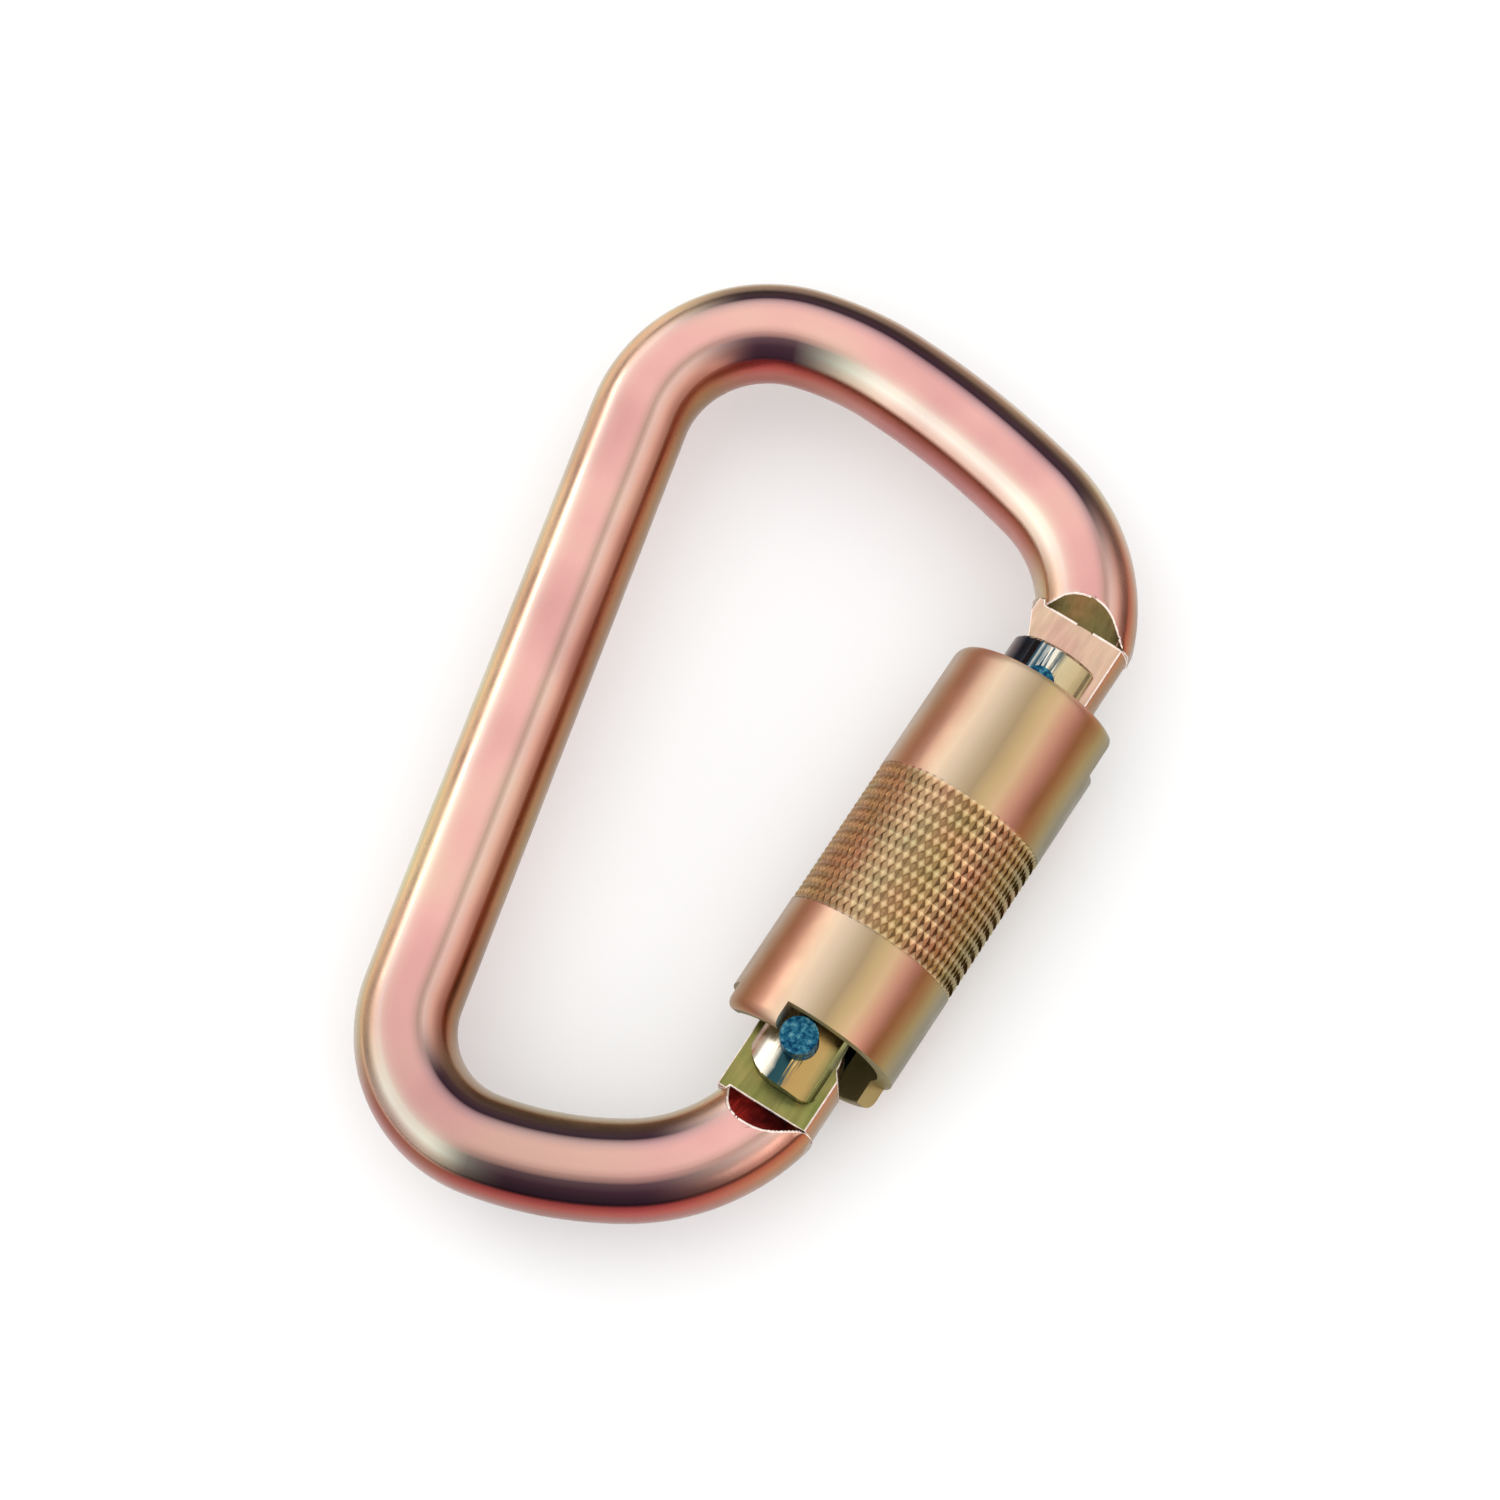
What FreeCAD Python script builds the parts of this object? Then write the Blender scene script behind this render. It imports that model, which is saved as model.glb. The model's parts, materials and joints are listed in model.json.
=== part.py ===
import FreeCAD, Part
import math
import os
import re
import Sketcher

from FreeCAD import Placement, Rotation, Vector

# An auto-locking carabiner: a bent steel bar, a gate rod hinged at one end of it, and a
# spring-loaded twist sleeve on the gate.
# Everything is drawn in the gate's frame: the hinge axis is the Z axis at the bar's mid-plane,
# +Y runs up the gate towards the nose, and +X points out of the loop. One common Placement
# then moves every piece, so that the finished part lies on Z = 0 with its centre on the origin.

# ---- driving dimensions: name, value in millimetres or degrees, meaning ----
SIZES = [
    # frame
    ("bar_diameter", 11.0, "round bar that the frame is bent from"),
    ("bar_thickness", 9.6, "across the two faces pressed flat"),
    ("spine_offset", 42.06, "hinge axis to the spine's centreline, along X"),
    ("spine_lean", 13.3, "spine's lean away from the gate axis, degrees"),
    ("spine_top", 50.53, "where the spine's straight run ends, nose side"),
    ("spine_bottom", 16.62, "where it ends below the hinge, hinge side"),
    ("top_corner_radius", 14.82, "tight bend at the spine's nose end"),
    ("top_corner_turn", 88.11, "its turn, degrees"),
    ("top_ease_radius", 34.94, "bend that eases it into the top arm"),
    ("top_ease_turn", 17.66, "its turn, degrees"),
    ("top_arm_radius", 99.44, "the top arm's slight curve"),
    ("top_arm_turn", 12.23, "its turn, degrees"),
    ("nose_bend_radius", 18.54, "bend down into the nose"),
    ("nose_bend_turn", 64.74, "its turn, degrees"),
    ("bottom_corner_radius", 12.98, "tight bend at the spine's hinge end"),
    ("bottom_corner_turn", 88.74, "its turn, degrees"),
    ("bottom_arm_radius", 43.34, "the bottom arm's slight curve"),
    ("bottom_arm_turn", 20.73, "its turn, degrees"),
    ("hinge_bend_radius", 21.33, "bend up into the hinge"),
    ("hinge_bend_turn", 47.7, "its turn, degrees"),
    ("tang_thickness", 6.0, "nose and hinge tangs, across their milled faces"),
    ("tang_radius", 6.1, "turned radius of both tangs about the gate axis"),
    ("nose_shoulder", 55.1, "hinge axis to the foot of the nose shoulder"),
    ("nose_slope_run", 2.4, "length of the nose shoulder's slope"),
    ("hinge_shoulder", 7.4, "hinge axis down to the foot of the hinge shoulder"),
    ("hinge_slope_run", 2.9, "length of the hinge shoulder's slope"),
    ("slope_rise", 1.9, "height of both slopes"),
    ("lip_thickness", 1.35, "nose lip under the latch notch"),
    ("lip_bevel", 3.5, "slant on the lip's outer corner"),
    ("lip_bevel_rise", 4.025, "height of the slant on the lip's outer corner"),
    ("lip_corner", 0.9, "bevel on the lip's inner corner"),
    ("tang_root", 0.5, "how far the tangs reach into the bar"),
    ("hinge_tang_inner", 1.5, "hinge axis up to the hinge tang's inner top corner"),
    ("hinge_tang_outer", 2.0, "hinge axis down to the hinge tang's outer top corner"),
    ("shoulder_reach", 30.0, "length and width of the shoulders' cutters"),
    ("side_margin", 2.2, "how far the side cut goes past the shoulders"),
    ("notch_clearance", 0.25, "latch rivet to its notch"),
    ("tang_inner", 5.2, "hinge tang's inner side"),
    ("cam_start", 4.6, "cam radius with the gate shut"),
    ("cam_rise", 1.0, "cam's growth over the gate's swing"),
    ("gate_swing", 40.0, "gate's swing, degrees"),
    # gate
    ("rod_diameter", 11.0, "gate rod"),
    ("rod_end", 51.2, "hinge axis to the rod's free end"),
    ("rod_chamfer", 0.4, "edge of the free end"),
    ("ear_radius", 5.1, "rounded hinge ears"),
    ("ear_blend", 3.0, "height at which the ears reach the rod's full width"),
    ("ear_side", 5.3, "gate axis to the ears' flat outer side"),
    ("ear_corner", 1.6, "outer corner of the ears"),
    ("slot_clearance", 0.3, "tang to slot wall, each side"),
    ("hinge_slot_top", 6.6, "hinge axis to the top of the hinge slot"),
    ("nose_slot_floor", 42.5, "hinge axis to the floor of the nose slot"),
    ("web_thickness", 1.2, "wall that closes the nose slot on the inner side"),
    ("web_gap", 0.2, "nose to that wall"),
    ("latch_height", 46.3, "hinge axis to the latch rivet"),
    ("bore_diameter", 4.6, "spring bore up the rod"),
    ("bore_end", 34.0, "hinge axis to the bore's end"),
    # rivets
    ("hinge_shank", 3.2, "hinge rivet's shank diameter"),
    ("hinge_running", 0.05, "hinge rivet's radial clearance in the tang"),
    ("hinge_head", 4.1, "hinge rivet's head diameter"),
    ("hinge_head_reach", 8.3, "mid-plane to the top of its head"),
    ("latch_shank", 2.8, "latch rivet's shank diameter"),
    ("latch_head", 3.7, "latch rivet's head diameter"),
    ("latch_head_reach", 6.5, "mid-plane to the top of its head"),
    # closing plunger and spring
    ("plunger_clearance", 0.1, "plunger in its bore, radially"),
    ("plunger_lift", 0.2, "plunger's tip above the cam's start"),
    ("plunger_length", 8.0, "closing plunger"),
    ("closing_wire", 0.6, "closing spring's wire"),
    ("closing_gap", 0.2, "closing spring in its bore, radially"),
    ("closing_turns", 12.0, "closing spring's turns"),
    ("spring_seat_gap", 0.05, "spring end to its seat"),
    # sleeve
    ("sleeve_diameter", 19.8, "lock sleeve"),
    ("sleeve_top", 46.5, "hinge axis to the sleeve's nose rim"),
    ("sleeve_bottom", 0.6, "hinge axis down to the end of the sleeve's tabs"),
    ("rim_chamfer", 0.8, "nose rim's edge"),
    ("tab_chamfer", 0.4, "edge of the tabs"),
    ("skirt_bore", 16.3, "bore around the hinge ears"),
    ("collar_floor", 5.0, "hinge axis to the collar's lower face"),
    ("collar_thickness", 3.0, "inner collar that runs on the rod"),
    ("sleeve_running", 0.1, "sleeve on the rod and on the ring, radially"),
    ("chamber_bore", 15.2, "torsion spring's chamber"),
    ("ring_diameter", 16.4, "retaining ring"),
    ("ring_thickness", 3.0, "retaining ring, along the rod"),
    ("ring_floor", 38.2, "hinge axis to the ring's lower face"),
    ("ring_end_gap", 0.2, "ring to the sleeve's inner step"),
    ("mouth_bore", 17.8, "bore around the nose"),
    ("cutout_top", 2.2, "hinge axis to the top edge of the hinge cut-outs"),
    ("cutout_start", -26.0, "hinge cut-out's first side, degrees from +X towards +Z"),
    ("cutout_width", 132.0, "hinge cut-out's width, degrees"),
    ("passage_floor", 41.7, "hinge axis to the floor of the nose's way out"),
    ("passage_start", -118.0, "its first side, degrees from +X towards +Z"),
    ("passage_end", 12.0, "its other side, degrees"),
    # torsion spring
    ("torsion_wire", 1.0, "torsion spring's wire"),
    ("torsion_gap", 0.45, "torsion spring to the rod, radially"),
    ("torsion_turns", 15.0, "torsion spring's turns"),
    ("leg_length", 2.0, "torsion spring's straight ends"),
    ("leg_clearance", 0.1, "those ends in their holes, radially"),
]

doc = FreeCAD.newDocument("carabiner")
sheet = doc.addObject("Spreadsheet::Sheet", "sizes")
for row, (name, value, meaning) in enumerate(SIZES, start=1):
    sheet.set("A%d" % row, meaning)
    sheet.set("B%d" % row, "%g" % value)
    sheet.setAlias("B%d" % row, name)
doc.recompute()
size = {name: value for name, value, meaning in SIZES}

FAR = 200.0  # longer than any piece: how far an unbounded cut reaches


def linked(text):
    """An expression in which every sheet alias is written in full."""
    return re.sub(r"[a-z_]+", lambda word: "sizes." + word[0] if word[0] in size else word[0],
                  text)


def bind(thing, sizes_by_property):
    """Tie properties of a document object to expressions of the sheet's names."""
    for name, text in sizes_by_property.items():
        thing.setExpression(name, linked(text))


def fix(sketch, constraint, name, text):
    """Add a named dimension to a sketch and tie it to the sheet."""
    index = sketch.addConstraint(constraint)
    sketch.renameConstraint(index, name)
    sketch.setExpression("Constraints." + name, linked(text))


def body_sketch(body, name, plane="XY_Plane", height=None):
    """A sketch on one of the body's own planes, optionally raised along +Y."""
    sketch = body.newObject("Sketcher::SketchObject", name)
    feature = [f for f in body.Origin.OriginFeatures if f.Role == plane][0]
    sketch.AttachmentSupport = [(feature, "")]
    sketch.MapMode = "FlatFace"
    if height is not None:
        sketch.setExpression(".AttachmentOffset.Base.z", linked("-1 * ( %s )" % height))
    return sketch


def free_sketch(name, rotation=Rotation()):
    """A sketch outside any body, for Part features."""
    sketch = doc.addObject("Sketcher::SketchObject", name)
    sketch.Placement = Placement(Vector(), rotation)
    return sketch


def outline(sketch, corners):
    """Close a polygon through corners given as pairs of expressions."""
    first = sketch.GeometryCount
    count = len(corners)
    ring = [Vector(math.cos(k * math.tau / count), math.sin(k * math.tau / count), 0)
            for k in range(count)]
    for k in range(count):
        sketch.addGeometry(Part.LineSegment(ring[k], ring[(k + 1) % count]), False)
    for k in range(count):
        following = first + (k + 1) % count
        sketch.addConstraint(Sketcher.Constraint("Coincident", first + k, 2, following, 1))
    for k, (across, up) in enumerate(corners):
        for kind, text in (("X", across), ("Y", up)):
            rule = Sketcher.Constraint("Distance" + kind, -1, 1, first + k, 1, 1.0)
            fix(sketch, rule, "%s%d" % (kind, first + k), text)


def circle(sketch, name, radius, height="0"):
    """A circle on the sketch's vertical axis."""
    index = sketch.addGeometry(Part.Circle(Vector(0, 1, 0), Vector(0, 0, 1), 1.0), False)
    sketch.addConstraint(Sketcher.Constraint("PointOnObject", index, 3, -2))
    fix(sketch, Sketcher.Constraint("DistanceY", -1, 1, index, 3, 1.0), name + "_height", height)
    fix(sketch, Sketcher.Constraint("Radius", index, 1.0), name + "_radius", radius)


def revolve(body, name, sketch, kind="Revolution"):
    """Turn a sketch about the gate axis, to add it or, as a Groove, to cut it."""
    feature = body.newObject("PartDesign::" + kind, name)
    feature.Profile = sketch
    feature.ReferenceAxis = (sketch, ["V_Axis"])
    feature.Angle = 360
    return feature


def pocket(body, name, sketch, depth):
    """Cut a sketch out, as deep on one side of its plane as on the other."""
    feature = body.newObject("PartDesign::Pocket", name)
    feature.Profile = sketch
    feature.Midplane = True
    bind(feature, {"Length": depth})
    return feature


def wedge(start, end):
    """Corners of a wedge of wall between two angles about the gate axis."""
    inside, outside = "rod_diameter * 0.6", "sleeve_diameter * 1.2"
    turns = [(inside, end)] + [(inside, start)]
    turns += [(outside, "%s + ( %s - ( %s ) ) * %g" % (start, end, start, share))
              for share in (0.0, 0.25, 0.5, 0.75, 1.0)]
    return [("%s * cos(( %s ) * 1 deg )" % (radius, angle),
             "%s * sin(( %s ) * 1 deg )" % (radius, angle)) for radius, angle in turns]


# ---- frame ----
def centreline():
    """The bar's centreline: nose end, top arm, spine, bottom arm, hinge end."""
    sketch = free_sketch("centreline")
    lean = math.radians(size["spine_lean"])
    spine_x = {end: -size["spine_offset"] - math.tan(lean) * height for end, height in
               (("top", size["spine_top"]), ("bottom", -size["spine_bottom"]))}
    top = Vector(spine_x["top"], size["spine_top"], 0)
    bottom = Vector(spine_x["bottom"], -size["spine_bottom"], 0)
    spine = sketch.addGeometry(Part.LineSegment(bottom, top), False)
    shift_top = "-1 * spine_offset - spine_top * tan(spine_lean * 1 deg)"
    shift_bottom = "-1 * spine_offset + spine_bottom * tan(spine_lean * 1 deg)"
    for name, place, end, across, up in (("top", top, 2, shift_top, "spine_top"),
                                         ("bottom", bottom, 1, shift_bottom,
                                          "-1 * spine_bottom")):
        fix(sketch, Sketcher.Constraint("DistanceX", -1, 1, spine, end, place.x), name + "_x",
            across)
        fix(sketch, Sketcher.Constraint("DistanceY", -1, 1, spine, end, place.y), name + "_y", up)
    runs = ((top, math.pi / 2 + lean, -1, 2,
             ("top_corner", "top_ease", "top_arm", "nose_bend")),
            (bottom, -math.pi / 2 + lean, 1, 1,
             ("bottom_corner", "bottom_arm", "hinge_bend")))
    for point, heading, side, last_end, bends in runs:
        last = spine
        for bend in bends:
            radius = size[bend + "_radius"]
            turn = side * math.radians(size[bend + "_turn"])
            inward = Vector(-math.sin(heading), math.cos(heading), 0) * side
            centre = point + inward * radius
            begin = math.atan2(-inward.y, -inward.x)
            arc_ends = (begin, begin + turn) if side > 0 else (begin + turn, begin)
            arc = Part.ArcOfCircle(Part.Circle(centre, Vector(0, 0, 1), radius), *arc_ends)
            index = sketch.addGeometry(arc, False)
            near, far = (1, 2) if side > 0 else (2, 1)
            sketch.addConstraint(Sketcher.Constraint("Tangent", last, last_end, index, near))
            fix(sketch, Sketcher.Constraint("Radius", index, radius), bend, bend + "_radius")
            fix(sketch, Sketcher.Constraint("Angle", index, abs(turn)), bend + "_span",
                bend + "_turn * 1 deg")
            heading += turn
            point = centre - Vector(-math.sin(heading), math.cos(heading), 0) * side * radius
            last, last_end = index, far
    return sketch


def block(name, sketch, depth):
    """Extrude a sketch by half the depth on each side of its plane."""
    feature = doc.addObject("Part::Extrusion", name)
    feature.Base = sketch
    feature.DirMode = "Normal"
    feature.Solid = True
    feature.Symmetric = True
    bind(feature, {"LengthFwd": depth})
    return feature


# the slope is drawn this many times longer than it rises, to clear the bar
SLOPE_STEPS = 4


def shoulder_cut(name, foot, run, side):
    """Everything past a shoulder: flat between the tang's faces and sloped outside them."""
    sketch = free_sketch(name + "_outline", Rotation(Vector(1, 1, 1), 120))
    high = "( tang_thickness / 2 + slope_rise * %d )" % SLOPE_STEPS
    slope_end = "%s + %g * %s" % (foot, side * SLOPE_STEPS, run)
    past = "%s - %g * shoulder_reach" % (foot, side)
    outline(sketch, [(past, "-1 * " + high), (slope_end, "-1 * " + high),
                     (foot, "-1 * tang_thickness / 2"), (foot, "tang_thickness / 2"),
                     (slope_end, high), (past, high)])
    return block(name, sketch, "shoulder_reach")


def tang(name, sketch):
    """A milled tang: its outline at the tang's thickness, turned round about the gate axis."""
    plate = block(name + "_plate", sketch, "tang_thickness")
    turned = gate_axis_cylinder(name + "_turned", "tang_radius", str(FAR))
    shaped = doc.addObject("Part::MultiCommon", name)
    shaped.Shapes = [plate, turned]
    return shaped


def gate_axis_cylinder(name, radius, length):
    """A cylinder about the gate axis, centred on the hinge axis."""
    cylinder = doc.addObject("Part::Cylinder", name)
    bind(cylinder, {"Radius": radius, "Height": length})
    cylinder.Placement.Rotation = Rotation(Vector(1, 0, 0), -90)
    cylinder.setExpression(".Placement.Base.y", linked("-0.5 * ( %s )" % length))
    return cylinder


def cross_cylinder(name, diameter, length, height="0"):
    """A cylinder along Z through the gate axis, centred on the mid-plane."""
    cylinder = doc.addObject("Part::Cylinder", name)
    bind(cylinder, {"Radius": diameter + " / 2", "Height": length})
    cylinder.setExpression(".Placement.Base.y", linked(height))
    cylinder.setExpression(".Placement.Base.z", linked("-0.5 * ( %s )" % length))
    return cylinder


def boolean(kind, name, first, others):
    """A Part boolean: Cut takes the others away, MultiFuse and MultiCommon join them."""
    if kind == "Cut":
        feature = doc.addObject("Part::Cut", name)
        feature.Base = first
        feature.Tool = others[0] if len(others) == 1 else boolean(
            "MultiFuse", name + "_tools", others[0], others[1:])
        return feature
    feature = doc.addObject("Part::" + kind, name)
    feature.Shapes = [first] + others
    return feature


def nose_outline():
    """The nose tang: a hooked lip below the latch notch, slanted on its outer corner."""
    sketch = free_sketch("nose_outline")
    lip_top = "latch_height - latch_shank / 2 - notch_clearance"
    lip_end = lip_top + " - lip_thickness"
    inner = "web_thickness + web_gap - rod_diameter / 2"
    outer = "tang_radius"
    root = "nose_shoulder + tang_root"
    outline(sketch, [(outer, root), (outer, lip_end + " + lip_bevel_rise"),
                     (outer + " - lip_bevel", lip_end), (inner + " + lip_corner", lip_end),
                     (inner, lip_end + " + lip_corner"), (inner, "rod_end"),
                     ("-1 * tang_radius", root)])
    return sketch


def hinge_outline():
    """The hinge tang: a cam about the hinge axis, which the closing plunger rides on."""
    sketch = free_sketch("hinge_outline")
    swing = math.radians(size["gate_swing"])
    start = Vector(0, size["cam_start"], 0)
    end_radius = size["cam_start"] + size["cam_rise"]
    mid_radius = size["cam_start"] + size["cam_rise"] / 2
    middle = Vector(-math.sin(swing / 2), math.cos(swing / 2), 0) * mid_radius
    end = Vector(-math.sin(swing), math.cos(swing), 0) * end_radius
    side = Vector(size["cam_start"], 0, 0)
    inner = -size["tang_inner"]
    outer = size["tang_radius"]
    foot = -size["hinge_shoulder"] - size["tang_root"]
    cam = sketch.addGeometry(Part.Arc(start, middle, end), False)
    cap = sketch.addGeometry(Part.ArcOfCircle(
        Part.Circle(Vector(), Vector(0, 0, 1), size["cam_start"]), 0, math.pi / 2), False)
    corners = [end, Vector(inner, size["hinge_tang_inner"], 0), Vector(inner, foot, 0),
               Vector(outer, foot, 0), Vector(outer, -size["hinge_tang_outer"], 0), side]
    lines = [sketch.addGeometry(Part.LineSegment(a, b), False)
             for a, b in zip(corners, corners[1:])]
    joins = [(cam, 1, cap, 2), (cam, 2, lines[0], 1), (lines[4], 2, cap, 1)]
    joins += [(a, 2, b, 1) for a, b in zip(lines, lines[1:])]
    for join in joins:
        sketch.addConstraint(Sketcher.Constraint("Coincident", *join))
    sketch.addConstraint(Sketcher.Constraint("Coincident", cap, 3, -1, 1))
    sketch.addConstraint(Sketcher.Constraint("PointOnObject", cap, 2, -2))
    sketch.addConstraint(Sketcher.Constraint("PointOnObject", cap, 1, -1))
    fix(sketch, Sketcher.Constraint("Radius", cap, 1.0), "cam_start", "cam_start")
    root = "-1 * hinge_shoulder - tang_root"
    places = [("cam_end", lines[0], 1,
               "-1 * ( cam_start + cam_rise ) * sin(gate_swing * 1 deg )",
               "( cam_start + cam_rise ) * cos(gate_swing * 1 deg )"),
              ("inner_top", lines[1], 1, "-1 * tang_inner", "hinge_tang_inner"),
              ("inner_foot", lines[2], 1, "-1 * tang_inner", root),
              ("outer_foot", lines[3], 1, "tang_radius", root),
              ("outer_top", lines[4], 1, "tang_radius", "-1 * hinge_tang_outer")]
    for name, line, end_kind, across, up in places:
        fix(sketch, Sketcher.Constraint("DistanceX", -1, 1, line, end_kind, 1.0), name + "_x",
            across)
        fix(sketch, Sketcher.Constraint("DistanceY", -1, 1, line, end_kind, 1.0), name + "_y", up)
    # the arc's radius that passes midway up the rise at half the swing
    chord_middle = (start + end) * 0.5
    sagitta = (middle - chord_middle).Length
    half = (end - start).Length / 2
    fix(sketch, Sketcher.Constraint("Radius", cam, 1.0), "cam_bulge",
        "%g * ( cam_start + cam_rise )" % ((half * half + sagitta * sagitta) / (2 * sagitta)
                                           / end_radius))
    return sketch


def make_frame():
    path = centreline()
    section = doc.addObject("Part::Circle", "bar_section")
    bind(section, {"Radius": "bar_diameter / 2"})
    lean = size["spine_lean"]
    section.Placement.Rotation = Rotation(Vector(0, 0, 1), lean) * Rotation(Vector(1, 0, 0), 90)
    section.setExpression(".Placement.Base.x", linked(
        "-1 * spine_offset + spine_bottom * tan(spine_lean * 1 deg )"))
    section.setExpression(".Placement.Base.y", linked("-1 * spine_bottom"))
    doc.recompute()
    bar = doc.addObject("Part::Sweep", "bar")
    bar.Sections = [section]
    bar.Spine = (path, ["Edge%d" % (k + 1) for k in range(len(path.Shape.Edges))])
    bar.Solid = True
    bar.Transition = "Transformed"
    press = doc.addObject("Part::Box", "press")
    press.Length = 2 * FAR
    press.Width = 2 * FAR
    bind(press, {"Height": "bar_thickness"})
    press.Placement.Base = Vector(-FAR, -FAR, 0)
    press.setExpression(".Placement.Base.z", linked("-0.5 * bar_thickness"))
    pressed = boolean("MultiCommon", "pressed_bar", bar, [press])
    cuts = [shoulder_cut("nose_cut", "nose_shoulder", "nose_slope_run", 1),
            shoulder_cut("hinge_cut", "-1 * hinge_shoulder", "hinge_slope_run", -1)]
    side = doc.addObject("Part::Box", "side_cut")
    side.Length = FAR
    side.Height = 2 * FAR
    bind(side, {"Width": "nose_shoulder + hinge_shoulder + 2 * side_margin"})
    side.Placement.Base = Vector(0, 0, -FAR)
    side.setExpression(".Placement.Base.x", linked("tang_radius"))
    side.setExpression(".Placement.Base.y", linked("-1 * hinge_shoulder - side_margin"))
    milled = boolean("Cut", "milled_bar", pressed, cuts + [side])
    nose = tang("nose_tang", nose_outline())
    hinge = tang("hinge_tang", hinge_outline())
    whole = boolean("MultiFuse", "frame_blank", milled, [nose, hinge])
    notch_end = cross_cylinder("notch_end", "( latch_shank + 2 * notch_clearance )",
                               "2 * tang_thickness", "latch_height")
    notch = doc.addObject("Part::Box", "notch")
    notch.Length = 12
    bind(notch, {"Width": "latch_shank + 2 * notch_clearance", "Height": "2 * tang_thickness"})
    notch.Placement.Base = Vector(-12, 0, 0)
    notch.setExpression(".Placement.Base.y", linked(
        "latch_height - latch_shank / 2 - notch_clearance"))
    notch.setExpression(".Placement.Base.z", linked("-1 * tang_thickness"))
    bore = cross_cylinder("hinge_bore", "( hinge_shank + 2 * hinge_running )",
                          "2 * tang_thickness")
    return boolean("Cut", "frame", whole, [notch_end, notch, bore])


# ---- gate ----
def make_gate():
    body = doc.addObject("PartDesign::Body", "gate")
    profile = body_sketch(body, "rod_profile")
    outline(profile, [("0", "-1 * ear_radius - 1"), ("rod_diameter / 2", "-1 * ear_radius - 1"),
                      ("rod_diameter / 2", "rod_end - rod_chamfer"),
                      ("rod_diameter / 2 - rod_chamfer", "rod_end"), ("0", "rod_end")])
    revolve(body, "rod", profile)

    slots = body_sketch(body, "slots")
    wide = "rod_diameter"
    inner = "web_thickness - rod_diameter / 2"
    outline(slots, [(inner, "nose_slot_floor"), (wide, "nose_slot_floor"),
                    (wide, "rod_end + 5"), (inner, "rod_end + 5")])
    outline(slots, [("-1 * " + wide, "-2 * ear_radius"), (wide, "-2 * ear_radius"),
                    (wide, "hinge_slot_top"), ("-1 * " + wide, "hinge_slot_top")])
    pocket(body, "tang_slots", slots, "tang_thickness + 2 * slot_clearance")

    ears = body_sketch(body, "ear_outline")
    radius, side, corner = (size[name] for name in ("ear_radius", "ear_side", "ear_corner"))
    rod, blend = size["rod_diameter"] / 2, size["ear_blend"]
    inner = ears.addGeometry(Part.ArcOfCircle(
        Part.Circle(Vector(), Vector(0, 0, 1), radius), math.pi, math.pi * 1.5), False)
    foot = ears.addGeometry(Part.LineSegment(
        Vector(0, -radius, 0), Vector(side - corner, -radius, 0)), False)
    centre = Vector(side - corner, corner - radius, 0)
    outer = ears.addGeometry(Part.ArcOfCircle(
        Part.Circle(centre, Vector(0, 0, 1), corner), math.pi * 1.5, math.tau), False)
    corners = [Vector(side, corner - radius, 0), Vector(side, 0, 0), Vector(rod, blend, 0),
               Vector(2 * rod, blend, 0), Vector(2 * rod, -2 * radius, 0),
               Vector(-2 * rod, -2 * radius, 0), Vector(-2 * rod, blend, 0),
               Vector(-rod, blend, 0), Vector(-radius, 0, 0)]
    lines = [ears.addGeometry(Part.LineSegment(a, b), False)
             for a, b in zip(corners, corners[1:])]
    joins = [(inner, 2, foot, 1), (foot, 2, outer, 1), (outer, 2, lines[0], 1)]
    joins += [(a, 2, b, 1) for a, b in zip(lines, lines[1:])]
    joins += [(lines[-1], 2, inner, 1), (inner, 3, -1, 1)]
    for join in joins:
        ears.addConstraint(Sketcher.Constraint("Coincident", *join))
    ears.addConstraint(Sketcher.Constraint("PointOnObject", inner, 1, -1))
    ears.addConstraint(Sketcher.Constraint("PointOnObject", inner, 2, -2))
    ears.addConstraint(Sketcher.Constraint("Vertical", outer, 1, outer, 3))
    ears.addConstraint(Sketcher.Constraint("Horizontal", outer, 2, outer, 3))
    fix(ears, Sketcher.Constraint("Radius", inner, radius), "ear_radius", "ear_radius")
    fix(ears, Sketcher.Constraint("Radius", outer, corner), "ear_corner", "ear_corner")
    fix(ears, Sketcher.Constraint("DistanceX", -1, 1, outer, 3, centre.x), "corner_x",
        "ear_side - ear_corner")
    fix(ears, Sketcher.Constraint("DistanceY", -1, 1, outer, 3, centre.y), "corner_y",
        "ear_corner - ear_radius")
    wide = "rod_diameter"
    ends = (("ear_side", "0"), (wide + " / 2", "ear_blend"), (wide, "ear_blend"),
            (wide, "-2 * ear_radius"), ("-1 * " + wide, "-2 * ear_radius"),
            ("-1 * " + wide, "ear_blend"), ("-0.5 * " + wide, "ear_blend"))
    for line, place, (across, up) in zip(lines, corners[1:], ends):
        fix(ears, Sketcher.Constraint("DistanceX", -1, 1, line, 2, place.x), "x%d" % line, across)
        fix(ears, Sketcher.Constraint("DistanceY", -1, 1, line, 2, place.y), "y%d" % line, up)
    pocket(body, "ears", ears, "2 * rod_diameter")

    bore = body_sketch(body, "bore_profile")
    outline(bore, [("0", "0"), ("bore_diameter / 2", "0"), ("bore_diameter / 2", "bore_end"),
                   ("0", "bore_end")])
    revolve(body, "spring_bore", bore, "Groove")

    holes = body_sketch(body, "rivet_holes")
    circle(holes, "hinge", "hinge_shank / 2")
    circle(holes, "latch", "latch_shank / 2", "latch_height")
    pocket(body, "rivet_bores", holes, "2 * rod_diameter")
    return body


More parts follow.
